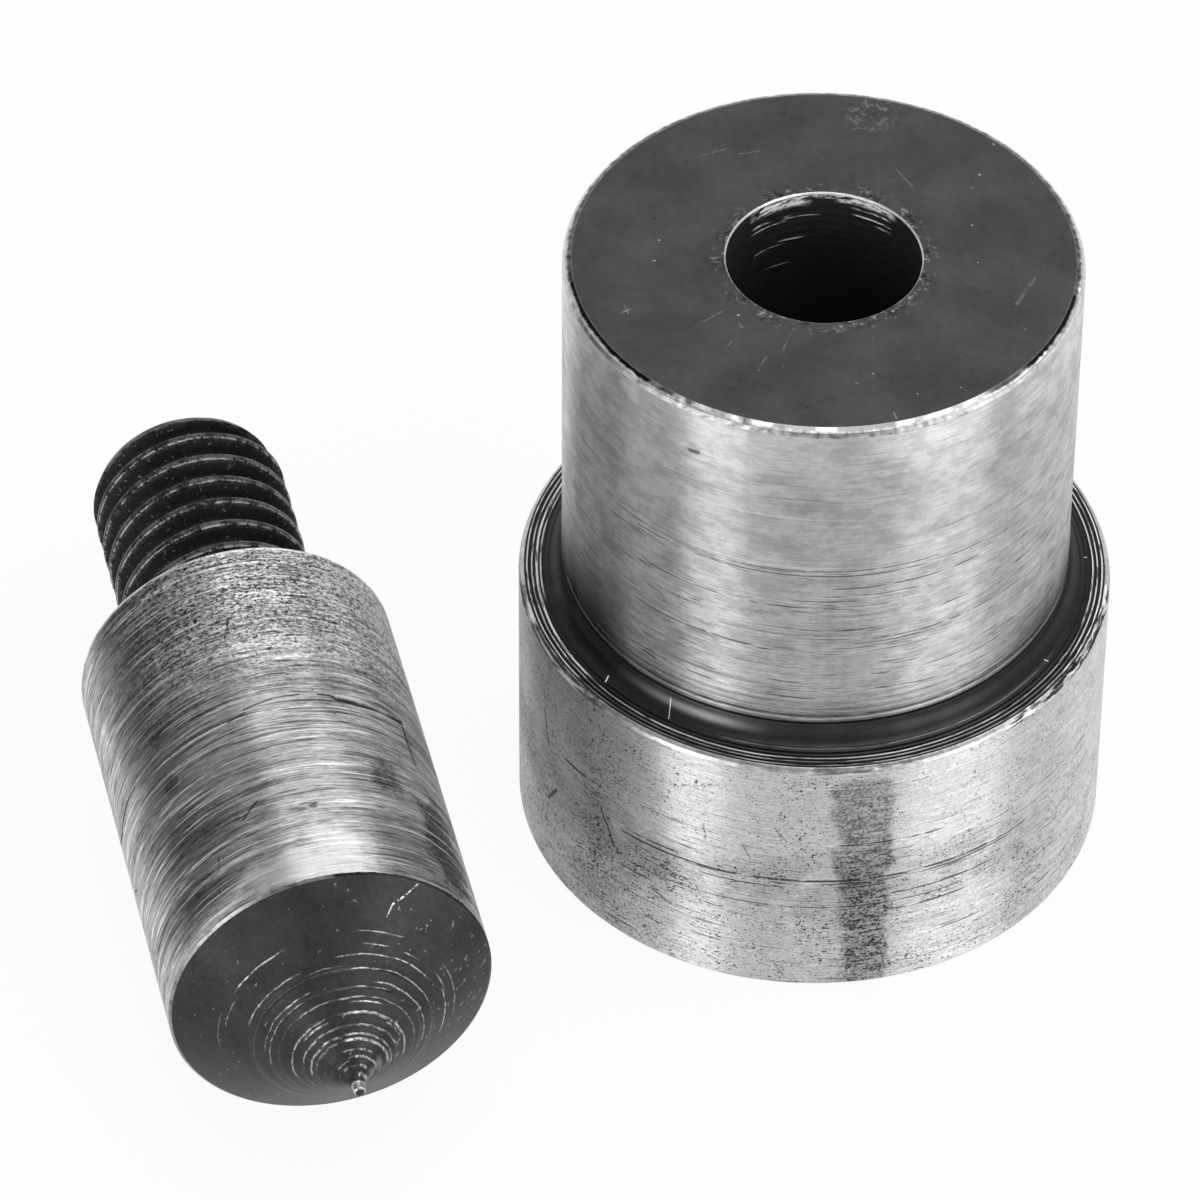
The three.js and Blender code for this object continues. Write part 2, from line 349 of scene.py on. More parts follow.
class Surface(Nodes):
    """A material with its turned piece's own coordinates, in millimetres and degrees.

    The place is where the piece's frame lies, with the turning axis along its Z."""

    def __init__(self, name, place):
        self.material = bpy.data.materials.new(name)
        super().__init__(self.material)
        self.axis = place.col[2].to_3d()
        source = self.field("ShaderNodeTexCoord", output="Object")
        inputs = {"Vector": source, "Location": place.translation, "Rotation": place.to_euler()}
        local = self.field("ShaderNodeMapping", inputs, vector_type="TEXTURE")
        self.point = self.scaled(local, 1 / MM)
        self.x, self.y, self.height = self.parts(self.point)
        self.flat = self.vector(self.x, self.y)
        self.radius = self.vector_math("LENGTH", self.flat)
        self.degrees = self.math("DEGREES", self.math("ARCTAN2", self.x, self.y * -1.0))
        self.back_degrees = self.math("DEGREES", self.math("ARCTAN2", self.x * -1.0, self.y))
        self.ring_x, self.ring_y, _ = self.parts(self.vector_math("NORMALIZE", self.flat))

    def noise(self, scale, detail=2.0, roughness=0.5, at=None):
        inputs = {"Vector": at or self.point, "Scale": scale, "Detail": detail, "Roughness": roughness}
        return self.field("ShaderNodeTexNoise", inputs, "Fac")

    def flattened(self, times):
        """The point for noise whose grains are so many times shorter along the axis."""
        return self.vector_math("MULTIPLY", self.point, (1, 1, times))

    def streaks(self, along, lines, around, shift=0.0, detail=3.0, roughness=0.6):
        """Noise in long lines round the axis, with so many lines to a millimetre."""
        at = self.vector(self.ring_x * around, self.ring_y * around, along * lines + shift)
        return self.noise(1.0, detail, roughness, at)

    def sector(self, middle, reach, soft):
        """1 within so many degrees of a middle angle and 0 past the soft edge outside it. A
        middle and its whole reach lie between -180 and 180 degrees."""
        return abs(self.degrees - middle).ramp(reach + soft, reach)

    def wear(self):
        return self.field("ShaderNodeAttribute", output="Fac", attribute_name="wear")

    def cut(self, value, lines, around, least, mask):
        """The value with fine cuts in it, a little askew to the rings: painted shade in each cut and a
        painted highlight along its edges.
        """
        grain = self.streaks(self.height + self.degrees * CUT_TILT, lines, around, 61.0, 2.0)
        light = grain.ramp(least - 0.10, least - 0.03) * mask
        dark = grain.ramp(least, least + 0.05) * mask
        return (value + light * 0.10) * dark.shade(0.32)

    def groove(self, value, marks, left):
        """The value with tool lines round the axis in it: painted shade in each line and a painted
        highlight along its edges.
        """
        wide = [(*place, GROOVE_WIDENING * width, strength) for *place, width, strength in marks]
        profile = self.rings(self.height, wide)
        value = value + profile.ramp(0.05, 0.25) * 0.12
        return value * profile.ramp(0.30, 0.65).shade(left)

    def pits(self, scale, share, size, shift=0.0):
        """Small ragged pits on a share of scattered cells, 1 in the middle of a pit."""
        place = self.vector_math("ADD", self.point, (shift, shift, shift))
        cell = self.node("ShaderNodeTexVoronoi", {"Vector": place, "Scale": scale}).outputs
        chance = self.field("ShaderNodeSeparateColor", {0: Field(self, cell["Color"])})
        gap = Field(self, cell["Distance"]) + self.noise(5.0, 1.0).swing(0.35)
        return gap.ramp(0.3 * size, size, 1.0, 0.0) * self.math("LESS_THAN", chance, share)

    def specks(self, scale, least, crowd=0.0, flat=1.0):
        """Small ragged specks, longer round the axis than along it, more where it is crowded."""
        grains = self.noise(scale, 1.5, 0.6, self.flattened(flat)) + crowd
        return grains.ramp(least, least + 0.045)

    def rings(self, along, marks, degrees=None):
        """Broken lines round the axis, each as (place along, from degrees, to degrees, half
        width, strength)."""
        degrees = degrees or self.degrees
        along = along + self.streaks(along, 0.4, 3.5, 7.0, 1.0).swing(0.12)
        total = 0.0
        for place, low, high, half_width, strength in marks:
            middle, half = (low + high) / 2, (high - low) / 2
            line = abs(along - place).ramp(0.3 * half_width, half_width, strength, 0.0)
            total = total | line * abs(degrees - middle).ramp(half - 4, half + 3, 1.0, 0.0)
        broken = self.streaks(along, 7.0, 9.0, 21.0, 2.0)
        return total * broken.ramp(0.38, 0.48, 0.2, 1.0)

    def strokes(self, across, along, marks):
        """Scratches between two points in millimetres, each as (start, end, half width,
        strength)."""
        place = self.vector(across, along)
        total = 0.0
        for start, end, half_width, strength in marks:
            start = Vector((*start, 0))
            span = Vector((*end, 0)) - start
            from_start = self.vector_math("SUBTRACT", place, start)
            share = self.vector_math("DOT_PRODUCT", from_start, span / span.length_squared)
            share = self.field("ShaderNodeClamp", {0: share})
            gap = self.vector_math("DISTANCE", from_start, self.scaled(span, share))
            total = total | gap.ramp(0.3 * half_width, half_width, strength, 0.0)
        return total

    def wall_strokes(self, wall_radius, marks):
        """Scratches on a round wall, with their points in degrees and millimetres."""
        arc = math.radians(1) * wall_radius / MM
        flat_marks = [((a * arc, h), (b * arc, k), *rest) for (a, h), (b, k), *rest in marks]
        across = self.degrees * arc + self.noise(1.2).swing(0.4)
        return self.strokes(across, self.height, flat_marks)

    def face_strokes(self, marks, unit=1.0):
        """Scratches on a turned face, with their points as degrees and radius in the unit."""
        flat_marks = [
            (on_face(a, r * unit), on_face(b, q * unit), *rest) for (a, r), (b, q), *rest in marks
        ]
        return self.strokes(self.x, self.y, flat_marks)

    def blotches(self, marks):
        """Soft ragged spots, each as (degrees, height, half degrees, half height, strength)."""
        ragged = self.noise(0.9, 4.0, 0.65).swing(1.6)
        place = self.vector(self.degrees, self.height)
        total = 0.0
        for degrees, height, half_degrees, half_height, strength in marks:
            gap = self.vector_math("SUBTRACT", place, (degrees, height, 0))
            gap = self.vector_math("MULTIPLY", gap, (1 / half_degrees, 1 / half_height, 0))
            gap = self.vector_math("LENGTH", gap) + ragged
            total = total | gap.ramp(0.5, 1.15, strength, 0.0)
        return total

    def rim_patches(self, marks):
        """Patches round a rim, each as degrees, half width in degrees and strength."""
        ragged = self.degrees + self.noise(1.5, 3.0).swing(6.0)
        total = 0.0
        for degrees, half, strength in marks:
            total = total | abs(ragged - degrees).ramp(half + 1, half - 1, 0.0, strength)
        return total

    def metal(self, tone, roughness, height, depth, anisotropy=0.0, metallic=1.0):
        """The finished surface: a grey metal with its relief, brushed round the piece's axis."""
        tone = self.math("MINIMUM", tone, 1.0)
        colour = self.field("ShaderNodeCombineColor", {0: tone, 1: tone, 2: tone})
        relief = self.field("ShaderNodeBump", {"Height": height, "Distance": depth, "Strength": 1.0})
        inputs = {"Base Color": colour, "Roughness": roughness, "Metallic": metallic, "Normal": relief}
        if anisotropy > 0:
            inputs |= {"Anisotropic": anisotropy, "Tangent": self.vector(*self.axis)}
        self.node("ShaderNodeOutputMaterial", {0: self.field("ShaderNodeBsdfPrincipled", inputs)})
        return self.material


def on_face(degrees, radius):
    """A point of a turned face from its angle and radius."""
    angle = math.radians(degrees)
    return radius * math.sin(angle), -radius * math.cos(angle)


# The middle of the noise, the slant of the fine cuts in mm to a degree, and the width of a
# groove with its light edges against its dark line
NOISE_MIDDLE = 0.5
CUT_TILT = 0.006
GROOVE_WIDENING = 1.6

# Base tones of the surfaces, from black at 0 to white at 1. The face's low tone is partly a
# painted dark reflection, the land's and the nose's are a painted dark reflection, and the
# bore's near black is painted shade in the hole
POST_TONE = 0.49
COLLAR_TONE = 0.66
PUNCH_TONE = 0.47
FACE_TONE = 0.120
LAND_TONE = 0.035
BORE_TONE = 0.025
FACED_END_TONE = 0.33
NOSE_TONE = 0.047
THREAD_TONE = 0.0135
WALL_ANISOTROPY = 1.0

# Tool lines of the post, dark and light, as height in mm, from and to in degrees, half width
# in mm and strength: the dark ones painted shade in grooves, the light ones painted glints
POST_DARK_LINES = (
    (29.4, -56, -14, 0.06, 0.45), (28.3, -40, 5, 0.05, 0.25), (26.0, -25, 28, 0.05, 0.45),
    (25.65, -30, 25, 0.04, 0.4), (25.1, -58, 35, 0.06, 0.6), (24.8, -50, 40, 0.06, 0.65),
    (24.0, 1, 38, 0.06, 0.75), (23.4, -20, 20, 0.04, 0.35), (22.8, -44, 16, 0.06, 0.65),
    (21.8, 35, 55, 0.05, 0.4), (20.9, -30, 20, 0.045, 0.4), (20.7, 10, 52, 0.06, 0.65),
    (20.1, -47, -14, 0.07, 0.75), (19.8, -50, -16, 0.05, 0.55), (18.9, -40, -10, 0.05, 0.45),
    (17.3, -47, -22, 0.06, 0.75), (17.3, 30, 55, 0.05, 0.65), (16.5, -50, 60, 0.05, 0.45),
    (15.95, -85, 85, 0.07, 0.8), (15.5, -85, 85, 0.07, 0.9),
)
POST_LIGHT_LINES = (
    (25.3, -40, 10, 0.04, 0.5), (23.1, -44, 0, 0.04, 0.5), (20.3, -47, -20, 0.05, 0.6),
    (19.6, -45, -18, 0.04, 0.6), (17.1, -47, -20, 0.05, 0.7), (16.3, -50, 50, 0.05, 0.6),
    (15.75, -80, 75, 0.07, 1.0), (16.2, -60, 60, 0.05, 0.7), (18.2, -10, 30, 0.03, 0.4),
)
POST_DENT = (((-31, 31.0), (-29, 31.05), 0.16, 1.0),)


def post_wall(place):
    """Bright steel, turned round the axis, with broken tool lines that crowd near the foot, painted
    highlights at its top and up its sides, and painted shade low on its sides, low on its left and at
    its foot.
    """
    surface = Surface("post_wall", place)
    height = surface.height
    fine = surface.streaks(height, 11, 3.0)
    short = surface.streaks(height, 13, 16.0, 31.0, 2.0)
    long_lines = surface.streaks(height, 6, 1.6, 90.0)
    clouds = surface.noise(0.5, 4.0, 0.6)
    patches = surface.noise(0.8, 3.0, 0.7, surface.flattened(1.6)).ramp(0.38, 0.62)
    low = height.ramp(28, 22)
    beside = abs(surface.degrees).ramp(38, 62)
    on_left = surface.sector(-105, 47, 16)
    value = POST_TONE + clouds.swing(0.30) + patches.swing(0.12) + fine.swing(0.30)
    value += short.swing(low.blend(0.14, 0.50))
    value *= (short.ramp(0.57, 0.68) * low.blend(0.2, 0.7)).shade(0.45)
    value *= (long_lines.ramp(0.58, 0.72) * low.blend(0.3, 0.8)).shade(0.32)
    value = surface.cut(value, 8.0, 3.5, 0.61, low.blend(0.3, 1.0))
    value = surface.groove(value, POST_DARK_LINES, 0.34)
    value *= surface.wall_strokes(POST_RADIUS, POST_DENT).shade(0.3)
    # Painted highlight at the top and up the sides; painted shade low on the sides, low on the left and
    # near the foot
    value *= height.ramp(29, 33).shade(1.25)
    value *= (beside * height.ramp(19, 27)).shade(1.25)
    value *= (beside * height.ramp(20, 15.2)).shade(0.28)
    value *= (on_left * height.ramp(21.5, 17)).shade(0.55)
    value *= height.ramp(17.2, 15.5).shade(0.45)
    # Painted glints along the light tool lines, then painted shade in the crease at the foot
    value += surface.rings(height, POST_LIGHT_LINES) * 0.30
    value *= height.ramp(15.62, 15.48).shade(0.25)
    return surface.metal(value, fine.blend(0.38, 0.48), fine, 0.004 * MM, WALL_ANISOTROPY)


# The collar's tool lines, painted as shaded grooves, its scratches, and the dark smudge that runs up
# its front
COLLAR_DARK_LINES = (
    (13.2, -45, 60, 0.04, 0.35), (9.4, 3, 26, 0.06, 0.8), (8.76, 5, 30, 0.05, 0.55),
    (7.4, -41, -26, 0.06, 0.75), (7.1, -41, 46, 0.07, 1.0), (6.9, -10, 42, 0.05, 0.8),
    (6.63, -40, 15, 0.05, 0.65), (5.9, 14, 38, 0.06, 0.85), (5.75, -38, 10, 0.04, 0.5),
    (5.34, -42, 36, 0.05, 0.6), (4.8, -42, -32, 0.06, 0.8), (4.8, 13, 32, 0.06, 0.8),
    (4.2, -30, 30, 0.04, 0.4), (1.3, -60, 20, 0.05, 0.45), (0.9, -47, -36, 0.09, 0.85),
)
COLLAR_SCRATCHES = (
    ((-65, 10.3), (-63.5, 8.3), 0.10, 0.9), ((-57, 8.75), (-50.5, 8.9), 0.10, 1.0),
    ((-63.5, 4.8), (-60.2, 6.0), 0.14, 0.9), ((-46, 7.7), (-42, 5.7), 0.10, 0.9),
    ((-33, 4.3), (-28.5, 3.8), 0.08, 0.7), ((-21.8, 9.9), (-21.9, 8.9), 0.07, 0.5),
    ((-14.6, 9.2), (-12.7, 8.3), 0.05, 0.6), ((-8.2, 10.5), (-6.3, 9.75), 0.05, 0.6),
    ((-47, 6.8), (-45.5, 6.0), 0.05, 0.6), ((-50, 9.9), (-46, 10.0), 0.05, 0.5),
)
SMUDGE_FROM = 4.0
SMUDGE_TO = 14.5


def collar_smudge(surface):
    """The dark speckled smudge, narrower towards the bottom and ragged at its edges."""
    height = surface.height
    ragged = surface.degrees + surface.noise(0.8, 4.0, 0.6).swing(7.0)
    from_left = ragged - (height.ramp(2.0, 13.0, 1.3, -1.0) + SMUDGE_FROM)
    inside = from_left.ramp(-1.2, 1.6) * ragged.ramp(SMUDGE_TO + 0.9, SMUDGE_TO - 1.3)
    inside *= height.ramp(14.0, 13.2)
    inside *= height.ramp(12.5, 4.5, 0.74, 1.0)
    grit = surface.noise(6.5, 3.0, 0.75) + surface.streaks(height, 7.0, 12.0, 51.0).swing(0.6)
    return inside * grit.ramp(0.44, 0.58, 0.34, 1.0)


def collar_wall(place):
    """Bright steel like the post's, but rusted to fine pits, scratched and smudged, with a painted dark
    reflection in a band on the left and a painted highlight on the right.
    """
    surface = Surface("collar_wall", place)
    height = surface.height
    fine = surface.streaks(height, 11, 3.0)
    short = surface.streaks(height, 12, 20.0, 31.0, 2.0)
    clouds = surface.noise(0.5, 4.0, 0.6)
    grain = surface.noise(5.0, 2.0, 0.7)
    rustier = surface.sector(-100, 50, 25) * 0.12 + height.ramp(11, 5) * 0.10
    crowd = (surface.noise(0.45, 3.0, 0.6) + rustier).swing(0.32)
    marks = surface.specks(4.4, 0.69, crowd, 1.8) | surface.specks(7.5, 0.66, crowd, 1.5)
    marks |= surface.wall_strokes(COLLAR_RADIUS, COLLAR_SCRATCHES)
    worked = abs(height - 6.6).ramp(2.8, 0.8) * crowd.ramp(-0.03, 0.05)
    value = COLLAR_TONE + clouds.swing(0.26) + fine.swing(0.44) + short.swing(0.60)
    value += grain.swing(0.46)
    # A painted dark reflection in a band on the left and a painted highlight on the right
    value *= surface.sector(-58, 10, 14).shade(0.72)
    value *= surface.sector(105, 43, 17).shade(1.14)
    value *= (worked * surface.sector(-58, 96, 16)).shade(0.76)
    value *= (short.ramp(0.60, 0.70) * height.ramp(12, 8, 0.3, 0.7)).shade(0.40)
    value = surface.cut(value, 9.0, 4.0, 0.61, height.ramp(12, 8, 0.2, 1.0))
    value = surface.groove(value, COLLAR_DARK_LINES, 0.18)
    value *= marks.shade(0.10)
    value *= collar_smudge(surface).shade(0.12)
    return surface.metal(value, fine.blend(0.38, 0.48), fine, 0.005 * MM, WALL_ANISOTROPY)


# The upper die's tool lines, light and dark, its crack, scratches, stains and polished spots;
# the light tool lines are painted glints
PUNCH_LIGHT_LINES = (
    (11.2, -50, 31, 0.07, 1.0), (10.35, -72, -20, 0.05, 0.7), (10.3, 12, 30, 0.05, 0.6),
    (8.75, -50, -18, 0.07, 0.9), (7.15, -78, -22, 0.06, 0.7), (4.2, -51, -16, 0.08, 1.0),
    (3.45, 5, 40, 0.04, 0.6), (2.0, -50, 37, 0.05, 0.7), (0.6, -50, -20, 0.04, 0.6),
    (18.1, -48, -15, 0.06, 0.7), (17.85, -40, -20, 0.04, 0.6), (16.5, -38, -10, 0.05, 0.6),
    (19.9, -76, 5, 0.06, 0.7), (20.5, -70, -30, 0.05, 0.5), (14.7, -72, 5, 0.05, 0.6),
    (13.9, -70, -35, 0.04, 0.5), (12.6, -40, 15, 0.04, 0.5), (9.4, -20, 30, 0.04, 0.5),
    (22.15, -85, 60, 0.14, 1.0), (21.3, -60, -5, 0.06, 0.7),
)
PUNCH_DARK_LINES = (
    (6.6, -55, 40, 0.08, 0.6), (5.5, -60, -10, 0.06, 0.5), (4.0, -51, -10, 0.07, 0.7),
    (10.9, -50, 30, 0.06, 0.5), (9.0, -45, 10, 0.06, 0.5), (7.6, -50, 30, 0.06, 0.5),
    (2.4, -50, -5, 0.07, 0.5), (12.9, -30, 25, 0.05, 0.4), (15.5, -60, 0, 0.06, 0.4),
    (17.4, -50, 10, 0.06, 0.5), (20.9, -60, 60, 0.08, 0.6), (21.8, -50, 60, 0.06, 0.6),
)
PUNCH_CRACK = (
    ((-110, 14.6), (-100, 12.7), 0.12, 0.9), ((-100, 12.7), (-93, 12.0), 0.14, 0.9),
    ((-93, 12.0), (-85, 11.6), 0.16, 1.0), ((-85, 11.6), (-72, 11.9), 0.14, 0.9),
    ((-72, 11.9), (-64, 11.85), 0.10, 0.8), ((-12, 11.65), (-2, 11.9), 0.10, 0.8),
    ((-2, 11.9), (8, 12.0), 0.08, 0.7), ((15, 12.0), (24, 11.9), 0.10, 0.9),
    ((24, 11.9), (33, 11.78), 0.16, 1.0), ((33, 11.78), (42, 11.80), 0.24, 1.0),
    ((42, 11.80), (51, 11.9), 0.24, 1.0), ((50.5, 11.5), (51.5, 10.2), 0.12, 0.9),
    ((51.5, 10.2), (52, 9.0), 0.10, 0.9), ((-12, 11.45), (-19, 11.2), 0.08, 0.8),
)
PUNCH_SCRATCHES = (
    ((-23, 5.0), (-16.5, 5.75), 0.08, 0.9), ((-36.5, 2.9), (-35.5, 3.7), 0.06, 0.6),
    ((-8.5, 17.8), (-9.5, 17.0), 0.09, 0.8), ((-90, 8.4), (-85, 7.8), 0.08, 0.8),
)
PUNCH_STAINS = (
    (55, 3.4, 13, 3.8, 1.0), (33, 7.0, 8, 1.5, 0.9), (-38, 13.2, 15, 1.0, 0.6),
    (-46, 9.7, 4, 0.6, 0.8), (-38, 19.0, 15, 1.3, 0.5), (-35, 6.2, 18, 1.2, 0.4),
    (10, 13.0, 22, 1.5, 0.25), (-45, 2.2, 10, 1.8, 0.4), (30, 17.5, 32, 2.0, 0.3),
    (2, 4.65, 2, 0.25, 0.9), (30, 13.5, 20, 1.2, 0.3), (80, 3.0, 8, 2.5, 0.6),
)
PUNCH_POLISH = ((-8, 0.9, 24, 1.5, 0.55), (5, 1.3, 13, 2.8, 0.45))


def punch_wall(place):
    """Coarser turned steel: strong dark tool lines and painted glints along light ones, stains, grit
    and a crack, with painted dark reflections on the left, a painted highlight towards the shoulder on
    the right and painted shade low on the front right.
    """
    surface = Surface("punch_wall", place)
    height = surface.height
    fine = surface.streaks(height, 12, 3.0)
    short = surface.streaks(height, 11, 14.0, 31.0, 2.0)
    lines = surface.streaks(height, 6.0, 1.8, 90.0)
    bands = surface.streaks(height, 1.7, 1.2, 17.0)
    clouds = surface.noise(0.4, 5.0, 0.65)
    stains = surface.blotches(PUNCH_STAINS)
    rusty = height.ramp(11, 18) * surface.sector(12, 45, 35) | stains * 0.6
    grit = surface.noise(4.2, 3.0, 0.75, surface.flattened(1.8)).ramp(0.38, 0.62)
    marks = surface.specks(4.8, 0.63, (rusty - 0.8) * 0.13, 1.3)
    marks |= surface.wall_strokes(PUNCH_RADIUS, PUNCH_CRACK + PUNCH_SCRATCHES)
    dark = surface.rings(height, PUNCH_DARK_LINES) | lines.ramp(0.55, 0.68)
    light = surface.rings(height, PUNCH_LIGHT_LINES) | lines.ramp(0.44, 0.33) * 0.8
    above_rim = height.ramp(0.4, 1.8)
    value = PUNCH_TONE + clouds.swing(0.50) + bands.swing(0.62) + fine.swing(0.88)
    value += short.swing(0.62)
    value += grit.swing(rusty.blend(0.08, 0.70))
    value *= dark.shade(0.28)
    value = surface.cut(value, 8.0, 3.5, 0.60, 0.9)
    value *= stains.shade(0.30)
    # Painted dark reflections in two bands on the left, a painted highlight towards the shoulder on the
    # right, and painted shade low on the front right
    value *= (surface.sector(-42, 6, 16) * above_rim).shade(0.42)
    value *= (surface.sector(-54, 8, 14) * above_rim).shade(0.6)
    value *= (height.ramp(8, 21) * surface.sector(95, 37, 46)).shade(1.9)
    value *= (height.ramp(7, 2) * surface.sector(40, 12, 12)).shade(0.6)
    # Painted glints along the light tool lines
    value += light * 0.46
    value = surface.blotches(PUNCH_POLISH).blend(value, 1.0)
    value = value * marks.shade(0.10) | 0.03
    relief = fine * 1.5 + grit * rusty
    return surface.metal(value, fine.blend(0.38, 0.52), relief, 0.005 * MM, WALL_ANISOTROPY)


# Scratches and dots of the working face, from its centre, as degrees and radius in mm, and
# its one rough patch
FACE_SCRATCHES = (
    ((-67.5, 9.6), (-66.9, 10.15), 0.06, 0.7), ((-21.6, 8.44), (-21.6, 7.41), 0.05, 0.4),
    ((-51, 7.6), (-51, 6.0), 0.05, 0.35), ((-36, 7.5), (-36, 6.8), 0.05, 0.35),
    ((-17, 6.7), (-17, 5.5), 0.05, 0.35), ((15.6, 11.0), (15.6, 11.4), 0.06, 0.5),
    ((70, 9.3), (82, 9.7), 0.14, 0.3), ((-69.5, 9.75), (-66, 9.8), 0.05, 0.5),
    ((-98.5, 7.6), (-98.4, 7.65), 0.09, 1.0), ((-87.7, 7.75), (-87.5, 7.8), 0.08, 1.0),
    ((128.7, 9.35), (128.7, 9.4), 0.09, 1.0), ((125.6, 8.5), (125.5, 8.55), 0.07, 0.8),
    ((108.5, 7.2), (108.4, 7.25), 0.07, 0.8), ((-40, 6.1), (-38, 6.2), 0.12, 0.4),
    ((8.5, 8.7), (9.0, 8.75), 0.10, 0.4), ((140, 6.5), (152, 7.2), 0.05, 0.3),
    ((-150, 8.8), (-141, 9.1), 0.05, 0.3), ((-160, 8.0), (-152, 8.2), 0.05, 0.3),
)
FACE_PATCH = (167, 10.4)


def working_face(place):
    """The ground working face: dark and smooth, with clouds, specks and light scratches."""
    surface = Surface("working_face", place)
    clouds = surface.noise(0.3, 5.0, 0.6)
    fine = surface.noise(2.5, 3.0, 0.6)
    scratches = surface.face_strokes(FACE_SCRATCHES) * surface.noise(3.0).ramp(0.38, 0.58, 0.2, 1.0)
    near_bore = surface.radius.ramp(5.6, 4.75) * surface.noise(0.8, 2.0).ramp(0.42, 0.58, 0.1, 1.0)
    bore_noise = surface.noise(3.2, 4.0, 0.75)
    bore_grit = bore_noise.ramp(0.56, 0.63) * near_bore
    bore_dirt = bore_noise.ramp(0.48, 0.40) * near_bore
    patch = surface.vector_math("DISTANCE", surface.flat, (*on_face(*FACE_PATCH), 0)).ramp(1.6, 0.8)
    patch = patch * surface.noise(3.0, 5.0, 0.7).ramp(0.5, 0.62)
    light = scratches | surface.pits(1.0, 0.10, 0.09) | patch * 0.3
    light = light * 0.8 | bore_grit * 0.6
    value = FACE_TONE + clouds.swing(0.12) + fine.swing(0.05)
    value *= (surface.pits(1.3, 0.10, 0.10, 4.0) | bore_dirt).shade(0.35)
    value = light.blend(value, 0.75)
    value = (surface.wear() * 0.7).blend(value, 0.5)
    return surface.metal(value, clouds.blend(0.22, 0.32), fine, 0.001 * MM)


# Patches of painted dark reflection on three rims, as degrees, half width in degrees and strength
FACE_RIM_PATCHES = (
    (-62, 19, 1.0), (-38, 2, 0.8), (-32, 1.5, 0.7), (-25, 2, 0.6), (-19, 1.5, 0.6), (-7.5, 5, 0.6),
    (8.5, 6.5, 0.65), (21, 2, 0.5), (30, 1.5, 0.5), (43, 4, 0.6), (64, 14, 1.0),
)
COLLAR_RIM_PATCHES = ((-66, 18, 0.7), (5, 7, 0.4), (62, 23, 1.0), (-48, 2, 0.8), (42, 1.5, 0.7))
NOSE_RIM_PATCHES = ((78, 76, 1.0),)


def face_rim(place):
    """The bevel of the working face: a painted highlight along the front of its inner part, painted
    dark reflection at its sides and in patches, its outer part the other way round, and worn bright on
    its rounds.
    """
    surface = Surface("face_rim", place)
    nibbles = surface.noise(3.2, 3.0)
    # Painted highlight along the front; painted dark reflection at the sides and in the patches
    front = surface.sector(0, 28, 17)
    inner = front.blend(0.16, 0.62) + nibbles.swing(0.6)
    inner *= surface.rim_patches(FACE_RIM_PATCHES).shade(0.08)
    outer = front.blend(0.7, 0.34) + nibbles.swing(0.9) | 0.05
    value = (surface.radius + nibbles.swing(0.15)).ramp(11.72, 11.84).blend(inner, outer)
    value = (surface.wear() * nibbles.ramp(0.3, 0.5)).blend(value, 0.5)
    return surface.metal(value, nibbles.blend(0.28, 0.42), nibbles, 0.012 * MM)


def worn_edge_and_painted_shade(name, place, tone, marks=(), gouged=False):
    """A bevel or a round at a rim: steel worn bright in patches on its rounds, with painted dark
    reflection in the given patches round the rim, broken by gouges where it is gouged.
    """
    surface = Surface(name, place)
    nibbles = surface.noise(3.5, 3.0)
    value = surface.streaks(surface.height, 0.5, 6.0).ramp(0.38, 0.6, 0.7 * tone, tone)
    value += nibbles.swing(0.8 * tone)
    value += surface.streaks(surface.height, 9.0, 14.0, 5.0).swing(1.2 * tone)
    # Patches of painted dark reflection round the rim, broken by gouges
    if marks:
        dark = surface.rim_patches(marks)
        if gouged:
            gouges = surface.streaks(surface.height, 8.0, 9.0, 15.0)
            value += dark * gouges.ramp(0.5, 0.6) * 0.6
            dark *= gouges.ramp(0.54, 0.47)
        value *= dark.shade(0.1)
    value = (surface.wear() * nibbles.ramp(0.4, 0.6)).blend(value | 0.03, 0.6)
    return surface.metal(value, nibbles.blend(0.25, 0.4), nibbles, 0.01 * MM)


# Ridges that the tool left on the land, as radius in mm, from and to in degrees, half width
# in mm and strength, and the land's scratches, as degrees and radius
# The ridges' strengths are painted highlights, brightest on the left and the right
LAND_RIDGES = (
    (13.65, -181, 181, 0.06, 0.3), (13.42, -181, 181, 0.06, 0.3), (13.2, -181, 181, 0.08, 0.45),
    (13.65, -181, -52, 0.06, 0.8), (13.42, -181, -52, 0.06, 0.8), (13.2, -181, -52, 0.09, 1.0),
    (13.65, 50, 181, 0.06, 0.9), (13.42, 62, 181, 0.06, 0.8), (13.2, 58, 181, 0.06, 0.8),
    (13.02, -181, -80, 0.05, 0.8), (12.69, -20, 60, 0.06, 0.1), (13.2, -42, -22, 0.09, 0.6),
)
LAND_SCRATCHES = (
    ((-33, 12.75), (-34.5, 12.1), 0.035, 0.6), ((-50.8, 12.6), (-50.3, 12.85), 0.05, 1.0),
    ((58, 12.6), (58.2, 12.75), 0.04, 0.8), ((92, 12.85), (92, 12.95), 0.04, 0.8),
)


def dark_land(place):
    """The dark land and cove, with painted highlights on the tops of the tool's ridges and a painted
    glow in the cove on the front left.
    """
    surface = Surface("dark_land", place)
    smooth = surface.streaks(surface.radius, 5.0, 3.0)
    ridges = surface.rings(surface.radius, LAND_RIDGES)
    light = ridges | surface.face_strokes(LAND_SCRATCHES)
    # A painted highlight in the cove on the front left
    glow = abs(surface.radius - 12.13).ramp(0.22, 0.0) * surface.sector(-30, 6, 16)
    value = LAND_TONE + surface.noise(0.7, 4.0, 0.6).swing(0.03) + smooth.swing(0.02)
    value = light.blend(value + glow * 0.10, 1.0)
    metallic = light.ramp(0.3, 0.9, 1.0, 0.0)
    return surface.metal(value, 0.36, smooth + ridges * 2.0, 0.01 * MM, metallic=metallic)


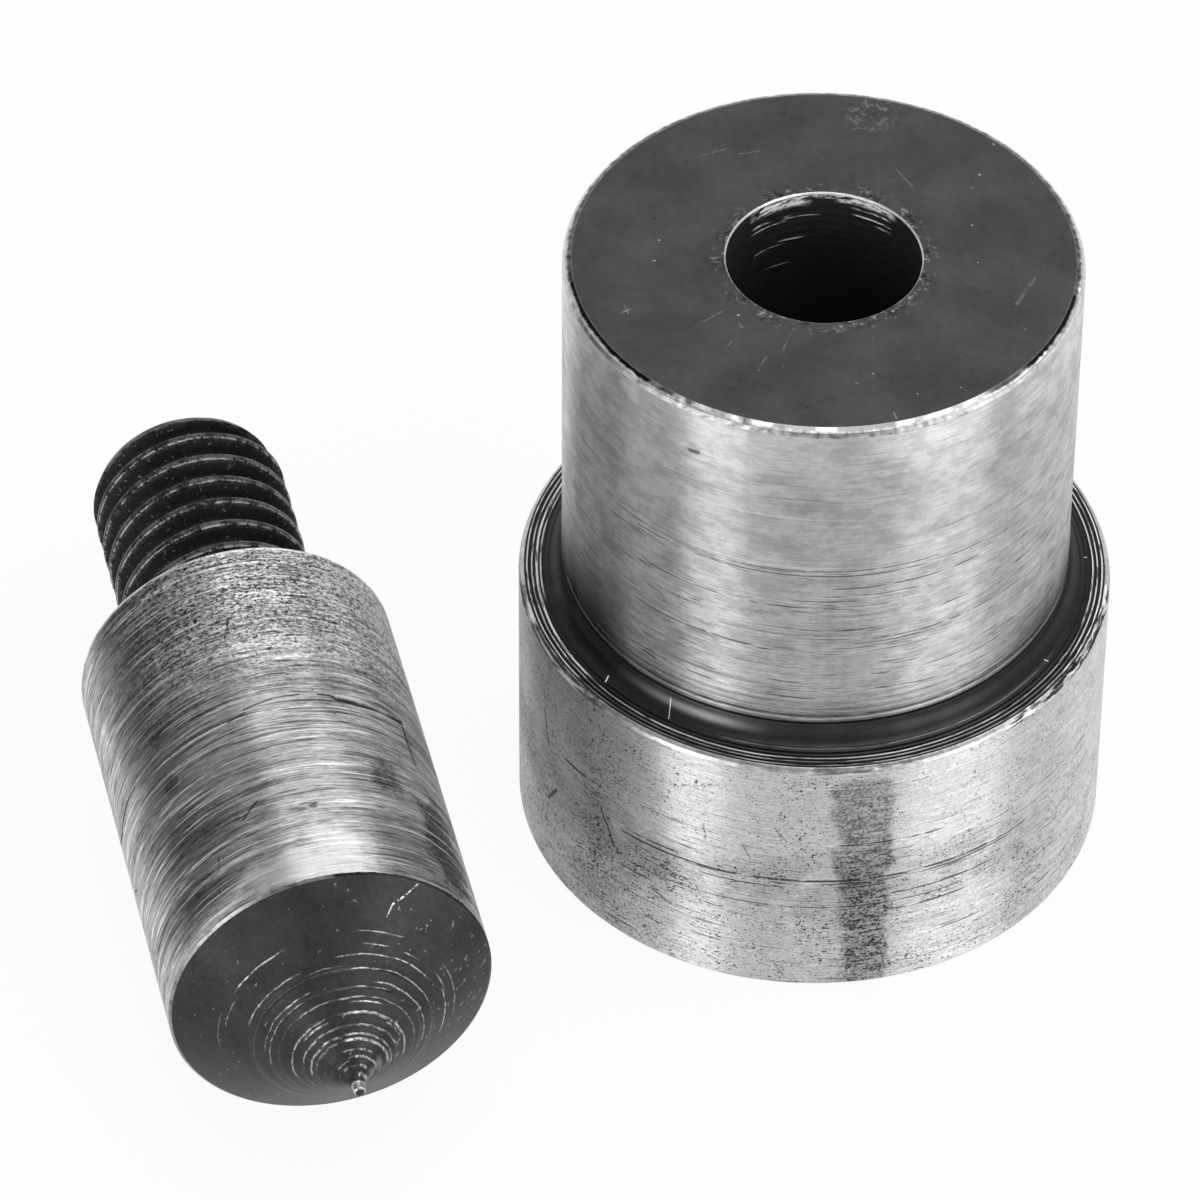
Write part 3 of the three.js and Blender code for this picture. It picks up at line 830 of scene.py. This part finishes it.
# Painted glints in broken arcs on the drill's ridges, with degrees from the back of the bore
BORE_ARCS = (
    (33.3, -47, -8, 0.28, 1.0), (33.2, 8, 46, 0.36, 1.0), (33.4, -16, 14, 0.14, 0.9),
    (32.9, -43, -19, 0.07, 1.0), (32.5, -44, -20, 0.06, 1.0), (32.2, -43, -34, 0.08, 0.7),
    (32.45, 20, 44, 0.07, 1.0), (32.15, 23, 45, 0.06, 1.0), (32.3, 2, 24, 0.05, 0.5),
    (31.0, 11, 25, 0.06, 0.8), (30.8, 24, 45, 0.05, 0.6), (29.6, 20, 34, 0.05, 0.5),
)


def bore_mouth(place):
    """The bevel at the bore's mouth, with a painted highlight at its back."""
    surface = Surface("bore_mouth", place)
    nibbles = surface.noise(3.5, 3.0)
    back = abs(surface.back_degrees).ramp(78, 50)
    value = back.blend(0.62, 1.0) + nibbles.swing(0.5)
    return surface.metal(value, nibbles.blend(0.25, 0.4), nibbles, 0.01 * MM)


def bore_wall(name, place):
    """The drilled bore: near black for painted shade deep in the hole, with painted glints in broken
    arcs on the drill's ridges.
    """
    surface = Surface(name, place)
    broken = surface.streaks(surface.height, 4.0, 5.0)
    arcs = surface.rings(surface.height, BORE_ARCS, surface.back_degrees) * broken.ramp(0.36, 0.52)
    value = arcs.blend(BORE_TONE + broken.swing(0.03), 1.0)
    return surface.metal(value, 0.32, broken, 0.01 * MM, metallic=0.0)


def faced_end(name, place):
    """A faced end: steel with rings of fine tool lines."""
    surface = Surface(name, place)
    fine = surface.streaks(surface.radius, 8.0, 2.5)
    value = (FACED_END_TONE + fine.swing(0.22)) * surface.noise(0.4, 4.0, 0.6).blend(0.7, 1.15)
    return surface.metal(value, fine.blend(0.32, 0.45), fine, 0.003 * MM)


# Painted glints in broken arcs on the nose's ledges, as shares of its rim's radius, from and to in
# degrees, half width as a share and strength, then the arc on each ledge, with its half width in mm
NOSE_ARCS = (
    (0.724, -59, -28, 0.008, 0.9), (0.724, 12, 34, 0.006, 0.6), (0.735, -101, -76, 0.006, 0.35),
    (0.72, 66, 102, 0.006, 0.6), (0.70, -82, -64, 0.006, 0.4), (0.663, 15, 26, 0.006, 0.8),
    (0.655, 38, 46, 0.006, 0.8), (0.663, 65, 78, 0.007, 0.8), (0.649, 77, 110, 0.009, 0.9),
    (0.615, -1, 62, 0.007, 0.75), (0.592, -72, -26, 0.007, 0.8), (0.569, -22, 0, 0.006, 0.6),
    (0.55, 7, 74, 0.007, 0.9), (0.49, -88, -45, 0.006, 0.5), (0.49, -46, -26, 0.008, 0.9),
    (0.49, 24, 106, 0.008, 0.65), (0.464, -102, -34, 0.006, 0.6), (0.464, 10, 34, 0.007, 0.8),
    (0.417, -43, -14, 0.008, 0.6), (0.417, -5, 90, 0.008, 0.55), (0.396, 4, 32, 0.008, 0.9),
    (0.345, -114, -22, 0.009, 0.75), (0.345, -3, 106, 0.012, 1.0), (0.327, -56, -23, 0.010, 0.8),
    (0.327, 46, 74, 0.009, 0.5), (0.286, -88, -14, 0.009, 0.75), (0.286, 10, 82, 0.009, 0.7),
    (0.244, -104, -18, 0.010, 0.85), (0.244, -6, 106, 0.009, 0.75), (0.218, -90, -22, 0.010, 0.4),
    (0.218, -10, 96, 0.013, 1.0), (0.17, -22, 2, 0.009, 0.5), (0.17, 12, 46, 0.010, 0.8),
    (0.137, 4, 78, 0.010, 0.8), (0.12, -60, -14, 0.008, 0.4), (0.093, -50, -26, 0.010, 0.4),
    (0.093, 18, 50, 0.012, 0.8), (0.06, 10, 90, 0.012, 0.7),
)
NOSE_ARC_THINNING = 0.7
NOSE_LEDGE_ARC = (-100, 104, 0.04, 0.09)
NOSE_LEDGES = (0.093, 0.137, 0.17, 0.218, 0.244, 0.286, 0.345, 0.417, 0.464, 0.55)
NOSE_SCRATCHES = (
    ((34, 0.985), (30.5, 0.92), 0.05, 1.0), ((30.5, 0.92), (25.5, 0.86), 0.06, 1.0),
    ((25.5, 0.86), (24, 0.80), 0.05, 0.7), ((44.5, 0.815), (45, 0.785), 0.06, 0.7),
    ((56, 0.905), (57, 0.88), 0.05, 0.5), ((98, 0.80), (99, 0.775), 0.06, 0.6),
)


def dark_nose(place):
    """The cone: steel darkened for a painted dark reflection, with painted glints in broken arcs on the
    turning tool's ledges and a painted sheen near the tip on the right.
    """
    surface = Surface("dark_nose", place)
    radius = surface.radius
    fine = surface.noise(4.0, 3.0, 0.6)
    rim = PUNCH_RADIUS / MM
    arcs = [
        (share * rim, low, high, NOSE_ARC_THINNING * half_share * rim, strength)
        for share, low, high, half_share, strength in NOSE_ARCS
    ]
    arcs += [(share * rim, *NOSE_LEDGE_ARC) for share in NOSE_LEDGES]
    arcs = surface.rings(radius, arcs) * fine.ramp(0.40, 0.56, 0.35, 1.0)
    scratches = surface.face_strokes(NOSE_SCRATCHES, rim) * fine.ramp(0.42, 0.54)
    right = surface.sector(88, 12, 18)
    specks = surface.specks(3.0, 0.70, right * 0.07)
    nub_side = abs(radius - 0.27).ramp(0.08, 0.03) * fine.ramp(0.3, 0.6, 0.5, 1.0)
    light = arcs | scratches | specks * 0.25 | nub_side
    # A painted sheen near the tip on the right
    sheen = radius.ramp(2.1, 1.2) * right
    sheen *= surface.streaks(radius, 3.0, 2.0, 3.0).ramp(0.4, 0.6, 0.0, 0.14)
    value = NOSE_TONE + surface.noise(0.45, 5.0, 0.65).swing(0.060) + fine.swing(0.03) + sheen
    value = light.blend(value, 0.58)
    return surface.metal(value, light.blend(0.5, 0.38), fine, 0.004 * MM)


def black_thread(place):
    """Black oxide, worn to bare steel along the edges of the crests."""
    surface = Surface("black_thread", place)
    fine = surface.noise(7.0, 3.0, 0.7)
    broken = surface.noise(1.6, 4.0, 0.75) + fine.swing(0.5)
    worn = surface.wear() * broken.ramp(0.40, 0.60)
    light = worn | surface.specks(4.5, 0.66) * 0.18
    value = light.blend(THREAD_TONE + fine.swing(0.030), 0.52)
    return surface.metal(value, fine.blend(0.42, 0.58), fine, 0.008 * MM, metallic=0.8)


# The pieces

UPRIGHT = Matrix()
LOWER_DIE_SEGMENTS = 368
PUNCH_SEGMENTS = 400
THREAD_SEGMENTS = 220

# Steps between the rows of a skin, fine where its relief is fine
BASE_STEP = 2 * MM
WALL_STEP = 0.8 * MM
FACE_STEP = 0.5 * MM
PUNCH_STEP = 0.5 * MM
HOLE_STEP = 1 * MM
HOLE_MOUTH_STEP = 0.2 * MM
SHOULDER_STEP = 0.4 * MM
NOSE_STEP = 0.4 * MM
LEDGE_STEP = 0.3 * MM
BEVEL_STEP = 0.1 * MM
LAND_STEP = 0.03 * MM
FOOT_RING_STEP = 0.06 * MM
BORE_RING_STEP = 0.13 * MM
CRACK_STEP = 0.035 * MM
COVE_POINTS = 36

# Rounds of the edges
WORN_ROUND = 0.1 * MM
FACE_ROUND = 0.08 * MM
LAND_ROUND = 0.06 * MM
EDGE_ROUND = 0.05 * MM
NOSE_ROUND = 0.03 * MM
FINE_ROUND = 0.02 * MM

# Relief: the tool's rings and ridges, and the waver of the rims
FOOT_RING_HEIGHT = 0.022 * MM
FOOT_RING_PITCH = 0.42 * MM
FOOT_RING_REACH = 1.9 * MM
LAND_RIDGE_RADII = (13.65, 13.42, 13.2, 12.95, 12.69)
LAND_RIDGE_HEIGHT = 0.035 * MM
LAND_RIDGE_WIDTH = 0.05 * MM
LAND_RIDGE_FADE = 0.2 * MM
FACE_RIM_WAVER = 0.008 * MM
LAND_RIM_WAVER = 0.005 * MM
BORE_RING_PITCH = 0.45 * MM
BORE_RING_HEIGHT = 0.02 * MM
BORE_RING_REACH = 5 * MM
BORE_RING_START = 0.3 * MM
TOLERANCE = 0.01 * MM

# Nicks in a rim, as degrees round it, half width in degrees and depth in mm
FACE_NICKS = (
    (-46, 1.2, 0.08), (-40, 0.7, 0.05), (-33, 0.8, 0.05), (-24, 0.6, 0.04), (-19, 0.8, 0.07),
    (45, 1.6, 0.05), (53, 0.8, 0.05), (79, 0.8, 0.14), (-95, 1.5, 0.04), (120, 1.0, 0.05),
)
LAND_NICKS = (
    (-52, 0.8, 0.03), (-49, 0.5, 0.06), (-46.5, 0.6, 0.07), (-44, 0.8, 0.03), (12, 0.4, 0.08),
    (44, 0.9, 0.10), (48, 0.6, 0.06), (52, 0.5, 0.05), (58, 1.2, 0.07), (63, 0.8, 0.08),
    (67, 0.6, 0.05), (71, 1.6, 0.06), (76, 1.0, 0.07), (81, 0.7, 0.05), (130, 1.0, 0.06),
    (-140, 1.2, 0.06), (22, 0.5, 0.05), (31, 0.4, 0.04), (-18, 0.5, 0.04), (-27, 0.4, 0.04),
)


def nicks(angle, marks):
    """The depth of several nicks round a rim."""
    depth = 0.0
    for degrees, half_width, millimetres in marks:
        depth = depth + millimetres * MM * bump(angle_gap(angle, degrees), 0, half_width)
    return depth


def lower_die_relief(angle, radius, height):
    """Ridges on the land, at the post's foot and in the bore, and nicks in both rims."""
    on_land = bump(height, COLLAR_HEIGHT, LAND_RIDGE_FADE)
    land = 0.0
    for ridge in LAND_RIDGE_RADII:
        land = land + LAND_RIDGE_HEIGHT * bump(radius, ridge * MM, LAND_RIDGE_WIDTH) * on_land
    foot = COLLAR_HEIGHT + COVE_RADIUS
    above_foot = (height - foot) / FOOT_RING_REACH
    on_post = (radius > POST_RADIUS - TOLERANCE) & (above_foot > -0.1) & (above_foot < 1)
    foot_rings = FOOT_RING_HEIGHT * np.sin(TURN * (height - foot) / FOOT_RING_PITCH) * on_post
    below_face = FACE_HEIGHT - height
    in_bore = (radius < BORE_RADIUS + TOLERANCE) & (below_face > BORE_RING_START)
    fade = np.clip(1 - below_face / BORE_RING_REACH, 0, 1)
    turn_share = below_face / BORE_RING_PITCH - angle / TURN
    bore_rings = BORE_RING_HEIGHT * np.sin(TURN * turn_share) * in_bore * fade
    at_face_rim = bump(radius, POST_RADIUS - 0.2 * MM, 0.3 * MM)
    at_face_rim = at_face_rim * bump(below_face, 0.1 * MM, 0.25 * MM)
    at_land_rim = bump(radius, COLLAR_RADIUS - 0.1 * MM, 0.2 * MM)
    at_land_rim = at_land_rim * bump(height, COLLAR_HEIGHT - 0.1 * MM, 0.2 * MM)
    rims = at_face_rim * (nicks(angle, FACE_NICKS) + FACE_RIM_WAVER * wave(angle, 3, 10, 90))
    rims = rims + at_land_rim * (nicks(angle, LAND_NICKS) + LAND_RIM_WAVER * wave(angle, 5, 10, 90))
    return land + foot_rings + bore_rings - rims


def lower_die():
    """The lower die, as one turned skin from its underside to the bottom of its bore."""
    surfaces = {
        "base": faced_end("faced_base", UPRIGHT),
        "collar": collar_wall(UPRIGHT),
        "edge": worn_edge_and_painted_shade("worn_edge_and_painted_shade", UPRIGHT, 0.52, COLLAR_RIM_PATCHES, gouged=True),
        "mouth": bore_mouth(UPRIGHT),
        "land": dark_land(UPRIGHT),
        "post": post_wall(UPRIGHT),
        "rim": face_rim(UPRIGHT),
        "face": working_face(UPRIGHT),
        "bore": bore_wall("bore_wall", UPRIGHT),
    }
    bore_floor = FACE_HEIGHT - BORE_DEPTH
    outline = Outline(0, 0)
    outline.to(COLLAR_RADIUS - BASE_BEVEL, 0, "base", BASE_STEP, EDGE_ROUND, "edge")
    outline.to(COLLAR_RADIUS, BASE_BEVEL, "edge", BASE_BEVEL, WORN_ROUND, "edge")
    land_edge = COLLAR_HEIGHT - LAND_EDGE_DROP
    outline.to(COLLAR_RADIUS, land_edge, "collar", WALL_STEP, WORN_ROUND, "edge")
    worn_radius, worn_height = COLLAR_RADIUS - LAND_WORN_WIDTH, COLLAR_HEIGHT - LAND_WORN_DROP
    outline.to(worn_radius, worn_height, "edge", BEVEL_STEP, WORN_ROUND)
    land_radius = COLLAR_RADIUS - LAND_BEVEL_WIDTH
    outline.to(land_radius, COLLAR_HEIGHT, "edge", BEVEL_STEP, LAND_ROUND, "edge")
    outline.to(POST_RADIUS, COLLAR_HEIGHT, "land", LAND_STEP, COVE_RADIUS, "land", COVE_POINTS, 0)
    foot_rings_top = COLLAR_HEIGHT + COVE_RADIUS + FOOT_RING_REACH
    outline.to(POST_RADIUS, foot_rings_top, "post", FOOT_RING_STEP)
    outline.to(POST_RADIUS, FACE_HEIGHT - FACE_EDGE_DROP, "post", WALL_STEP, WORN_ROUND, "rim")
    worn_radius, worn_height = POST_RADIUS - FACE_WORN_WIDTH, FACE_HEIGHT - FACE_WORN_DROP
    outline.to(worn_radius, worn_height, "rim", BEVEL_STEP, WORN_ROUND)
    outline.to(POST_RADIUS - FACE_BEVEL_WIDTH, FACE_HEIGHT, "rim", BEVEL_STEP, FACE_ROUND, "face")
    outline.to(BORE_RADIUS + BORE_MOUTH_BEVEL, FACE_HEIGHT, "face", FACE_STEP, FINE_ROUND, "mouth")
    mouth_floor = FACE_HEIGHT - BORE_MOUTH_BEVEL
    outline.to(BORE_RADIUS, mouth_floor, "mouth", BEVEL_STEP, FINE_ROUND, "mouth")
    outline.to(BORE_RADIUS, FACE_HEIGHT - BORE_RING_REACH, "bore", BORE_RING_STEP)
    outline.to(BORE_RADIUS, bore_floor, "bore", HOLE_STEP, WORN_ROUND)
    outline.to(0, bore_floor - BORE_RADIUS * DRILL_POINT_SLOPE, "bore", FACE_STEP)
    rows, bands = outline.end()
    segments = LOWER_DIE_SEGMENTS
    piece = skin("lower_die_turned", rows, bands, segments, lower_die_relief, surfaces, UPRIGHT)
    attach(piece, "lower_die")
    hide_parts("lower_die")


def upper_die_place():
    """The upper die's own frame: its origin at the centre of its nose rim, and +Z along its
    axis to the stud. Its -Y faces up, as the lower die's -Y faces the camera."""
    z_axis = PUNCH_AXIS
    y_axis = Vector((0, 0, -1))
    x_axis = y_axis.cross(z_axis)
    shoulder = Vector((SHOULDER["pos_m"][0], SHOULDER["pos_m"][1], PUNCH_RADIUS))
    place = Matrix((x_axis, y_axis, z_axis)).transposed().to_4x4()
    place.translation = shoulder - z_axis * PUNCH_LENGTH
    return place


NOSE_LEDGE_DEPTH = 0.025 * MM

# The blunt nub at the nose's tip and the steps round it, as radius, height above the cone's
# tip and rounding in mm
NUB_REACH = 0.18
NUB_OUTLINE = (
    (0.19, -NUB_REACH, 0.04), (0.28, -0.08, 0.05), (0.30, 0.24, 0.02), (0.38, 0.38, 0.03),
    (0.45, 0.56, 0.03),
)

# The open crack, as degrees round the wall and height in mm, and the band with finer rows
CRACK_LINE = ((21, 11.9), (30, 11.75), (41, 11.85), (52, 11.85))
CRACK_MARGIN = 1
CRACK_FADE = 3
CRACK_BAND = (11.3 * MM, 12.4 * MM)
CRACK_DEPTH = 0.24 * MM
CRACK_HALF_WIDTH = 0.14 * MM
PUNCH_WAVER = 0.002 * MM


def punch_relief(angle, radius, height):
    """The open crack of the upper die's wall, and its slight waviness."""
    degrees = angle_gap(angle, 0)
    places, heights = zip(*CRACK_LINE)
    line = np.interp(degrees, places, heights) * MM
    from_ends = np.minimum(degrees - places[0], places[-1] - degrees) + CRACK_MARGIN
    sector = np.clip(from_ends / CRACK_FADE, 0, 1)
    on_wall = radius > PUNCH_RADIUS - TOLERANCE
    crack = CRACK_DEPTH * sector * bump(height, line, CRACK_HALF_WIDTH) * on_wall
    return PUNCH_WAVER * wave(angle, 7, 3, 9) * on_wall - crack


def punch_body(place):
    """The upper die's body, from the tip of its cone to the bottom of its tapped hole."""
    surfaces = {
        "nose": dark_nose(place),
        "edge": worn_edge_and_painted_shade("worn_nose_edge_and_painted_shade", place, 0.30, NOSE_RIM_PATCHES),
        "rim": worn_edge_and_painted_shade("worn_shoulder_edge", place, 0.95),
        "wall": punch_wall(place),
        "shoulder": faced_end("faced_shoulder", place),
        "hole": bore_wall("tapped_hole", place),
    }
    rim = PUNCH_RADIUS - NOSE_EDGE_BEVEL
    cone_length = NOSE_LENGTH - NOSE_PIP_LENGTH
    hole_radius = STUD_RADIUS + STUD_CLEARANCE
    hole_floor = PUNCH_LENGTH - STUD_SEAT_DEPTH - STUD_CLEARANCE
    outline = Outline(0, -NUB_REACH * MM - NOSE_LENGTH)
    for radius, height, rounding in NUB_OUTLINE:
        outline.to(radius * MM, height * MM - NOSE_LENGTH, "nose", BEVEL_STEP, rounding * MM)
    for share in NOSE_LEDGES:
        radius = share * rim
        height = cone_length * (share - 1)
        outline.to(radius, height, "nose", LEDGE_STEP, FINE_ROUND, points=2)
        outline.to(radius, height + NOSE_LEDGE_DEPTH, "nose", BEVEL_STEP)
    outline.to(rim, 0, "nose", NOSE_STEP, NOSE_ROUND, "edge")
    outline.to(PUNCH_RADIUS, NOSE_EDGE_BEVEL, "edge", BEVEL_STEP, EDGE_ROUND, "edge")
    outline.to(PUNCH_RADIUS, CRACK_BAND[0], "wall", PUNCH_STEP)
    outline.to(PUNCH_RADIUS, CRACK_BAND[1], "wall", CRACK_STEP)
    outline.to(PUNCH_RADIUS, PUNCH_LENGTH - SHOULDER_BEVEL, "wall", PUNCH_STEP, WORN_ROUND, "rim")
    outline.to(PUNCH_RADIUS - SHOULDER_BEVEL, PUNCH_LENGTH, "rim", BEVEL_STEP, EDGE_ROUND, "rim")
    mouth_radius, mouth_floor = hole_radius + HOLE_MOUTH_BEVEL, PUNCH_LENGTH - HOLE_MOUTH_BEVEL
    outline.to(mouth_radius, PUNCH_LENGTH, "shoulder", SHOULDER_STEP, EDGE_ROUND)
    outline.to(hole_radius, mouth_floor, "shoulder", HOLE_MOUTH_STEP, EDGE_ROUND)
    outline.to(hole_radius, hole_floor, "hole", HOLE_STEP, WORN_ROUND)
    outline.to(0, hole_floor - hole_radius * DRILL_POINT_SLOPE, "hole", HOLE_STEP)
    rows, bands = outline.end()
    piece = skin("punch_body_turned", rows, bands, PUNCH_SEGMENTS, punch_relief, surfaces, place)
    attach(piece, "upper_die")
    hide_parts("punch_body")


def thread_form():
    """One pitch of the thread as shares of the pitch, depths below the crest and wear."""
    flank_share = (1 - CREST_SHARE - ROOT_SHARE) / 2
    depth = flank_share * STUD_PITCH / THREAD_SLOPE
    half_crest = CREST_SHARE / 2
    half_root = ROOT_SHARE / 2
    form = [
        (-0.25 * half_crest, 0, 0.2),
        (0.25 * half_crest, 0, 0.2),
        (0.8 * half_crest, 0.01 * depth, 0.3),
        (half_crest, 0.05 * depth, 1),
        (half_crest + 0.07 * flank_share, 0.10 * depth, 0.1),
        (half_crest + 0.3 * flank_share, 0.32 * depth, 0),
        (half_crest + 0.7 * flank_share, 0.7 * depth, 0),
        (half_crest + 0.92 * flank_share, 0.91 * depth, 0),
        (0.5 - 0.8 * half_root, 0.98 * depth, 0),
        (0.5, depth, 0),
    ]
    mirrored = [(1 - share, drop, wear) for share, drop, wear in reversed(form[2:-1])]
    return form + mirrored


def threaded_stud(place):
    """The stud: a closed right-hand screw, trimmed flat at both ends and bevelled."""
    form = thread_form()
    per_turn = len(form)
    bottom, top = -STUD_SEAT_DEPTH, STUD_PROJECTION
    first = math.floor(bottom / STUD_PITCH) - 2
    turns = math.ceil(top / STUD_PITCH) + 2 - first
    columns = np.arange(THREAD_SEGMENTS)
    row_index = np.arange(turns * per_turn)
    shares, drops, wears = np.array([form[row % per_turn] for row in row_index]).T[:, :, None]
    turn = (first + row_index // per_turn)[:, None]
    height = STUD_PITCH * (turn + shares + columns[None, :] / THREAD_SEGMENTS)
    angle = TURN * columns[None, :] / THREAD_SEGMENTS + 0 * height
    slope = STUD_END_BEVEL_WIDTH / STUD_END_BEVEL_LENGTH
    end_gap = np.maximum(np.minimum(top - height, height - bottom), 0)
    limit = STUD_RADIUS - STUD_END_BEVEL_WIDTH + slope * end_gap
    full = STUD_RADIUS - drops + 0 * height
    radius = np.minimum(full, limit)
    wear = np.where(full > limit, 0.2, wears + 0 * height)
    points = np.stack([radius * np.sin(angle), -radius * np.cos(angle), height + PUNCH_LENGTH], axis=-1)
    faces = []
    for column in range(THREAD_SEGMENTS):
        wrapped = column == THREAD_SEGMENTS - 1
        after = 0 if wrapped else column + 1
        lift = per_turn if wrapped else 0
        for row in range(len(row_index) - 1 - lift):
            low = row * THREAD_SEGMENTS + column
            high = low + THREAD_SEGMENTS
            next_low = (row + lift) * THREAD_SEGMENTS + after
            faces.append((low, next_low, next_low + THREAD_SEGMENTS, high))
    surfaces = {"thread": black_thread(place)}
    piece = add_piece(
        "threaded_stud_worn", points.reshape(-1, 3), faces, [0] * len(faces), wear.reshape(-1), surfaces
    )
    trim_ends(piece.data, bottom + PUNCH_LENGTH, top + PUNCH_LENGTH)
    piece.data.transform(place)
    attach(piece, "upper_die")
    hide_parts("threaded_stud")


def trim_ends(mesh, bottom, top):
    """Cuts a screw off flat at two heights and closes both ends."""
    work = bmesh.new()
    work.from_mesh(mesh)
    for height, direction in ((bottom, -1), (top, 1)):
        geometry = work.verts[:] + work.edges[:] + work.faces[:]
        bmesh.ops.bisect_plane(
            work, geom=geometry, plane_co=(0, 0, height), plane_no=(0, 0, direction), clear_outer=True
        )
        rim = [edge for edge in work.edges if edge.is_boundary]
        rim = [e for e in rim if all(abs(v.co.z - height) < 0.001 * MM for v in e.verts)]
        cap = bmesh.ops.contextual_create(work, geom=rim)["faces"]
        bmesh.ops.poke(work, faces=cap)
    bmesh.ops.recalc_face_normals(work, faces=work.faces[:])
    work.to_mesh(mesh)
    work.free()
    mesh.set_sharp_from_angle(angle=math.radians(50))


# The stage

FLOOR_RADIUS = 3.0
FLOOR_CORNERS = 96
FLOOR_WHITE_SHARE = 0.92
FLOOR_COLOUR = (0.85, 0.85, 0.85, 1)


def floor():
    """A plain pale floor that keeps the shadow of what stands on it."""
    material = bpy.data.materials.new("pale_floor")
    nodes = Nodes(material)
    rays = nodes.node("ShaderNodeLightPath").outputs
    camera_ray, glossy_ray, transmission_ray = (
        Field(nodes, rays[f"Is {kind} Ray"]) for kind in ("Camera", "Glossy", "Transmission")
    )
    seen = (camera_ray | glossy_ray | transmission_ray) * FLOOR_WHITE_SHARE
    paper = nodes.field("ShaderNodeBsdfDiffuse", {"Color": FLOOR_COLOUR})
    white = nodes.field("ShaderNodeEmission")
    mixed = nodes.field("ShaderNodeMixShader", {0: seen, 1: paper, 2: white})
    nodes.node("ShaderNodeOutputMaterial", {0: mixed})
    bpy.ops.mesh.primitive_circle_add(vertices=FLOOR_CORNERS, radius=FLOOR_RADIUS, fill_type="NGON")
    disc = bpy.context.active_object
    disc.name = "pale_floor"
    disc.data.materials.append(material)


def softbox(name, azimuth, elevation, distance, width, height, power):
    """A soft rectangular lamp that faces the object. Azimuth 0 is towards the camera and grows
    towards +X. Angles are in degrees and the power is in watts."""
    turn, rise = math.radians(azimuth), math.radians(elevation)
    flat = math.cos(rise)
    away = Vector((flat * math.sin(turn), -flat * math.cos(turn), math.sin(rise)))
    data = bpy.data.lights.new(name, "AREA")
    data.shape = "RECTANGLE"
    data.size = width
    data.size_y = height
    data.energy = power
    lamp = bpy.data.objects.new(name, data)
    lamp.location = away * distance
    lamp.rotation_euler = away.to_track_quat("Z", "Y").to_euler()
    lamp.visible_camera = False
    bpy.context.scene.collection.objects.link(lamp)


HORIZON_LEVEL = 0.95
OVERHEAD_LEVEL = 0.42
BEHIND_GAIN = 1.35
CARD_DISTANCE = 0.10
CARD_FRONT = -0.02
CARD_BACK = 0.045
CARD_HEIGHT = 0.075
CARD_COLOUR = (0.01, 0.01, 0.01, 1)


def dark_card():
    """A dark card out of the picture on the left, for the dark bands in the steel."""
    material = bpy.data.materials.new("dark_card")
    nodes = Nodes(material)
    shader = nodes.field("ShaderNodeBsdfPrincipled", {"Base Color": CARD_COLOUR, "Roughness": 1})
    nodes.node("ShaderNodeOutputMaterial", {0: shader})
    ends = ((CARD_FRONT, 0), (CARD_BACK, 0), (CARD_BACK, CARD_HEIGHT), (CARD_FRONT, CARD_HEIGHT))
    mesh = bpy.data.meshes.new("dark_card")
    mesh.from_pydata([(-CARD_DISTANCE, y, z) for y, z in ends], [], [(0, 1, 2, 3)])
    mesh.materials.append(material)
    card = bpy.data.objects.new("dark_card", mesh)
    bpy.context.scene.collection.objects.link(card)
    card.visible_camera = False


def world():
    """A studio that is pale at the horizon, more so behind, and greyer overhead."""
    studio = bpy.data.worlds.new("studio")
    bpy.context.scene.world = studio
    nodes = Nodes(studio)
    _, y, z = nodes.parts(nodes.field("ShaderNodeTexCoord", output="Generated"))
    level = z.ramp(0.0, 0.5, HORIZON_LEVEL, OVERHEAD_LEVEL) * y.ramp(0.3, 0.8, 1.0, BEHIND_GAIN)
    nodes.node("ShaderNodeOutputWorld", {0: nodes.field("ShaderNodeBackground", {"Color": level})})


def camera():
    """The photograph's camera."""
    tilt = CAMERA_DOWN_ANGLE
    ahead = Vector((0, math.cos(tilt), -math.sin(tilt)))
    level_right = Vector((1, 0, 0))
    level_up = Vector((0, math.sin(tilt), math.cos(tilt)))
    right = math.cos(CAMERA_ROLL) * level_right + math.sin(CAMERA_ROLL) * level_up
    up = math.cos(CAMERA_ROLL) * level_up - math.sin(CAMERA_ROLL) * level_right
    data = bpy.data.cameras.new("photo_camera")
    data.sensor_fit = "HORIZONTAL"
    data.sensor_width = SENSOR_WIDTH_MM
    data.lens = FOCAL_LENGTH_PX / PHOTO_WIDTH_PX * SENSOR_WIDTH_MM
    data.clip_start = 0.01
    data.clip_end = 20
    place = Matrix((right, up, -ahead)).transposed().to_4x4()
    place.translation = CAMERA_PLACE
    viewer = bpy.data.objects.new("photo_camera", data)
    viewer.matrix_world = place
    bpy.context.scene.collection.objects.link(viewer)
    bpy.context.scene.camera = viewer


camera()
floor()
world()
dark_card()
softbox("overhead_softbox", 90, 78, distance=0.6, width=0.5, height=0.6, power=2.0)
softbox("right_softbox", 49, 18, distance=0.5, width=0.335, height=0.3, power=0.68)
softbox("left_strip", -42, 18, distance=0.5, width=0.19, height=0.3, power=0.6)

upper_place = upper_die_place()
lower_die()
punch_body(upper_place)
threaded_stud(upper_place)

bpy.context.scene.view_settings.view_transform = "Standard"
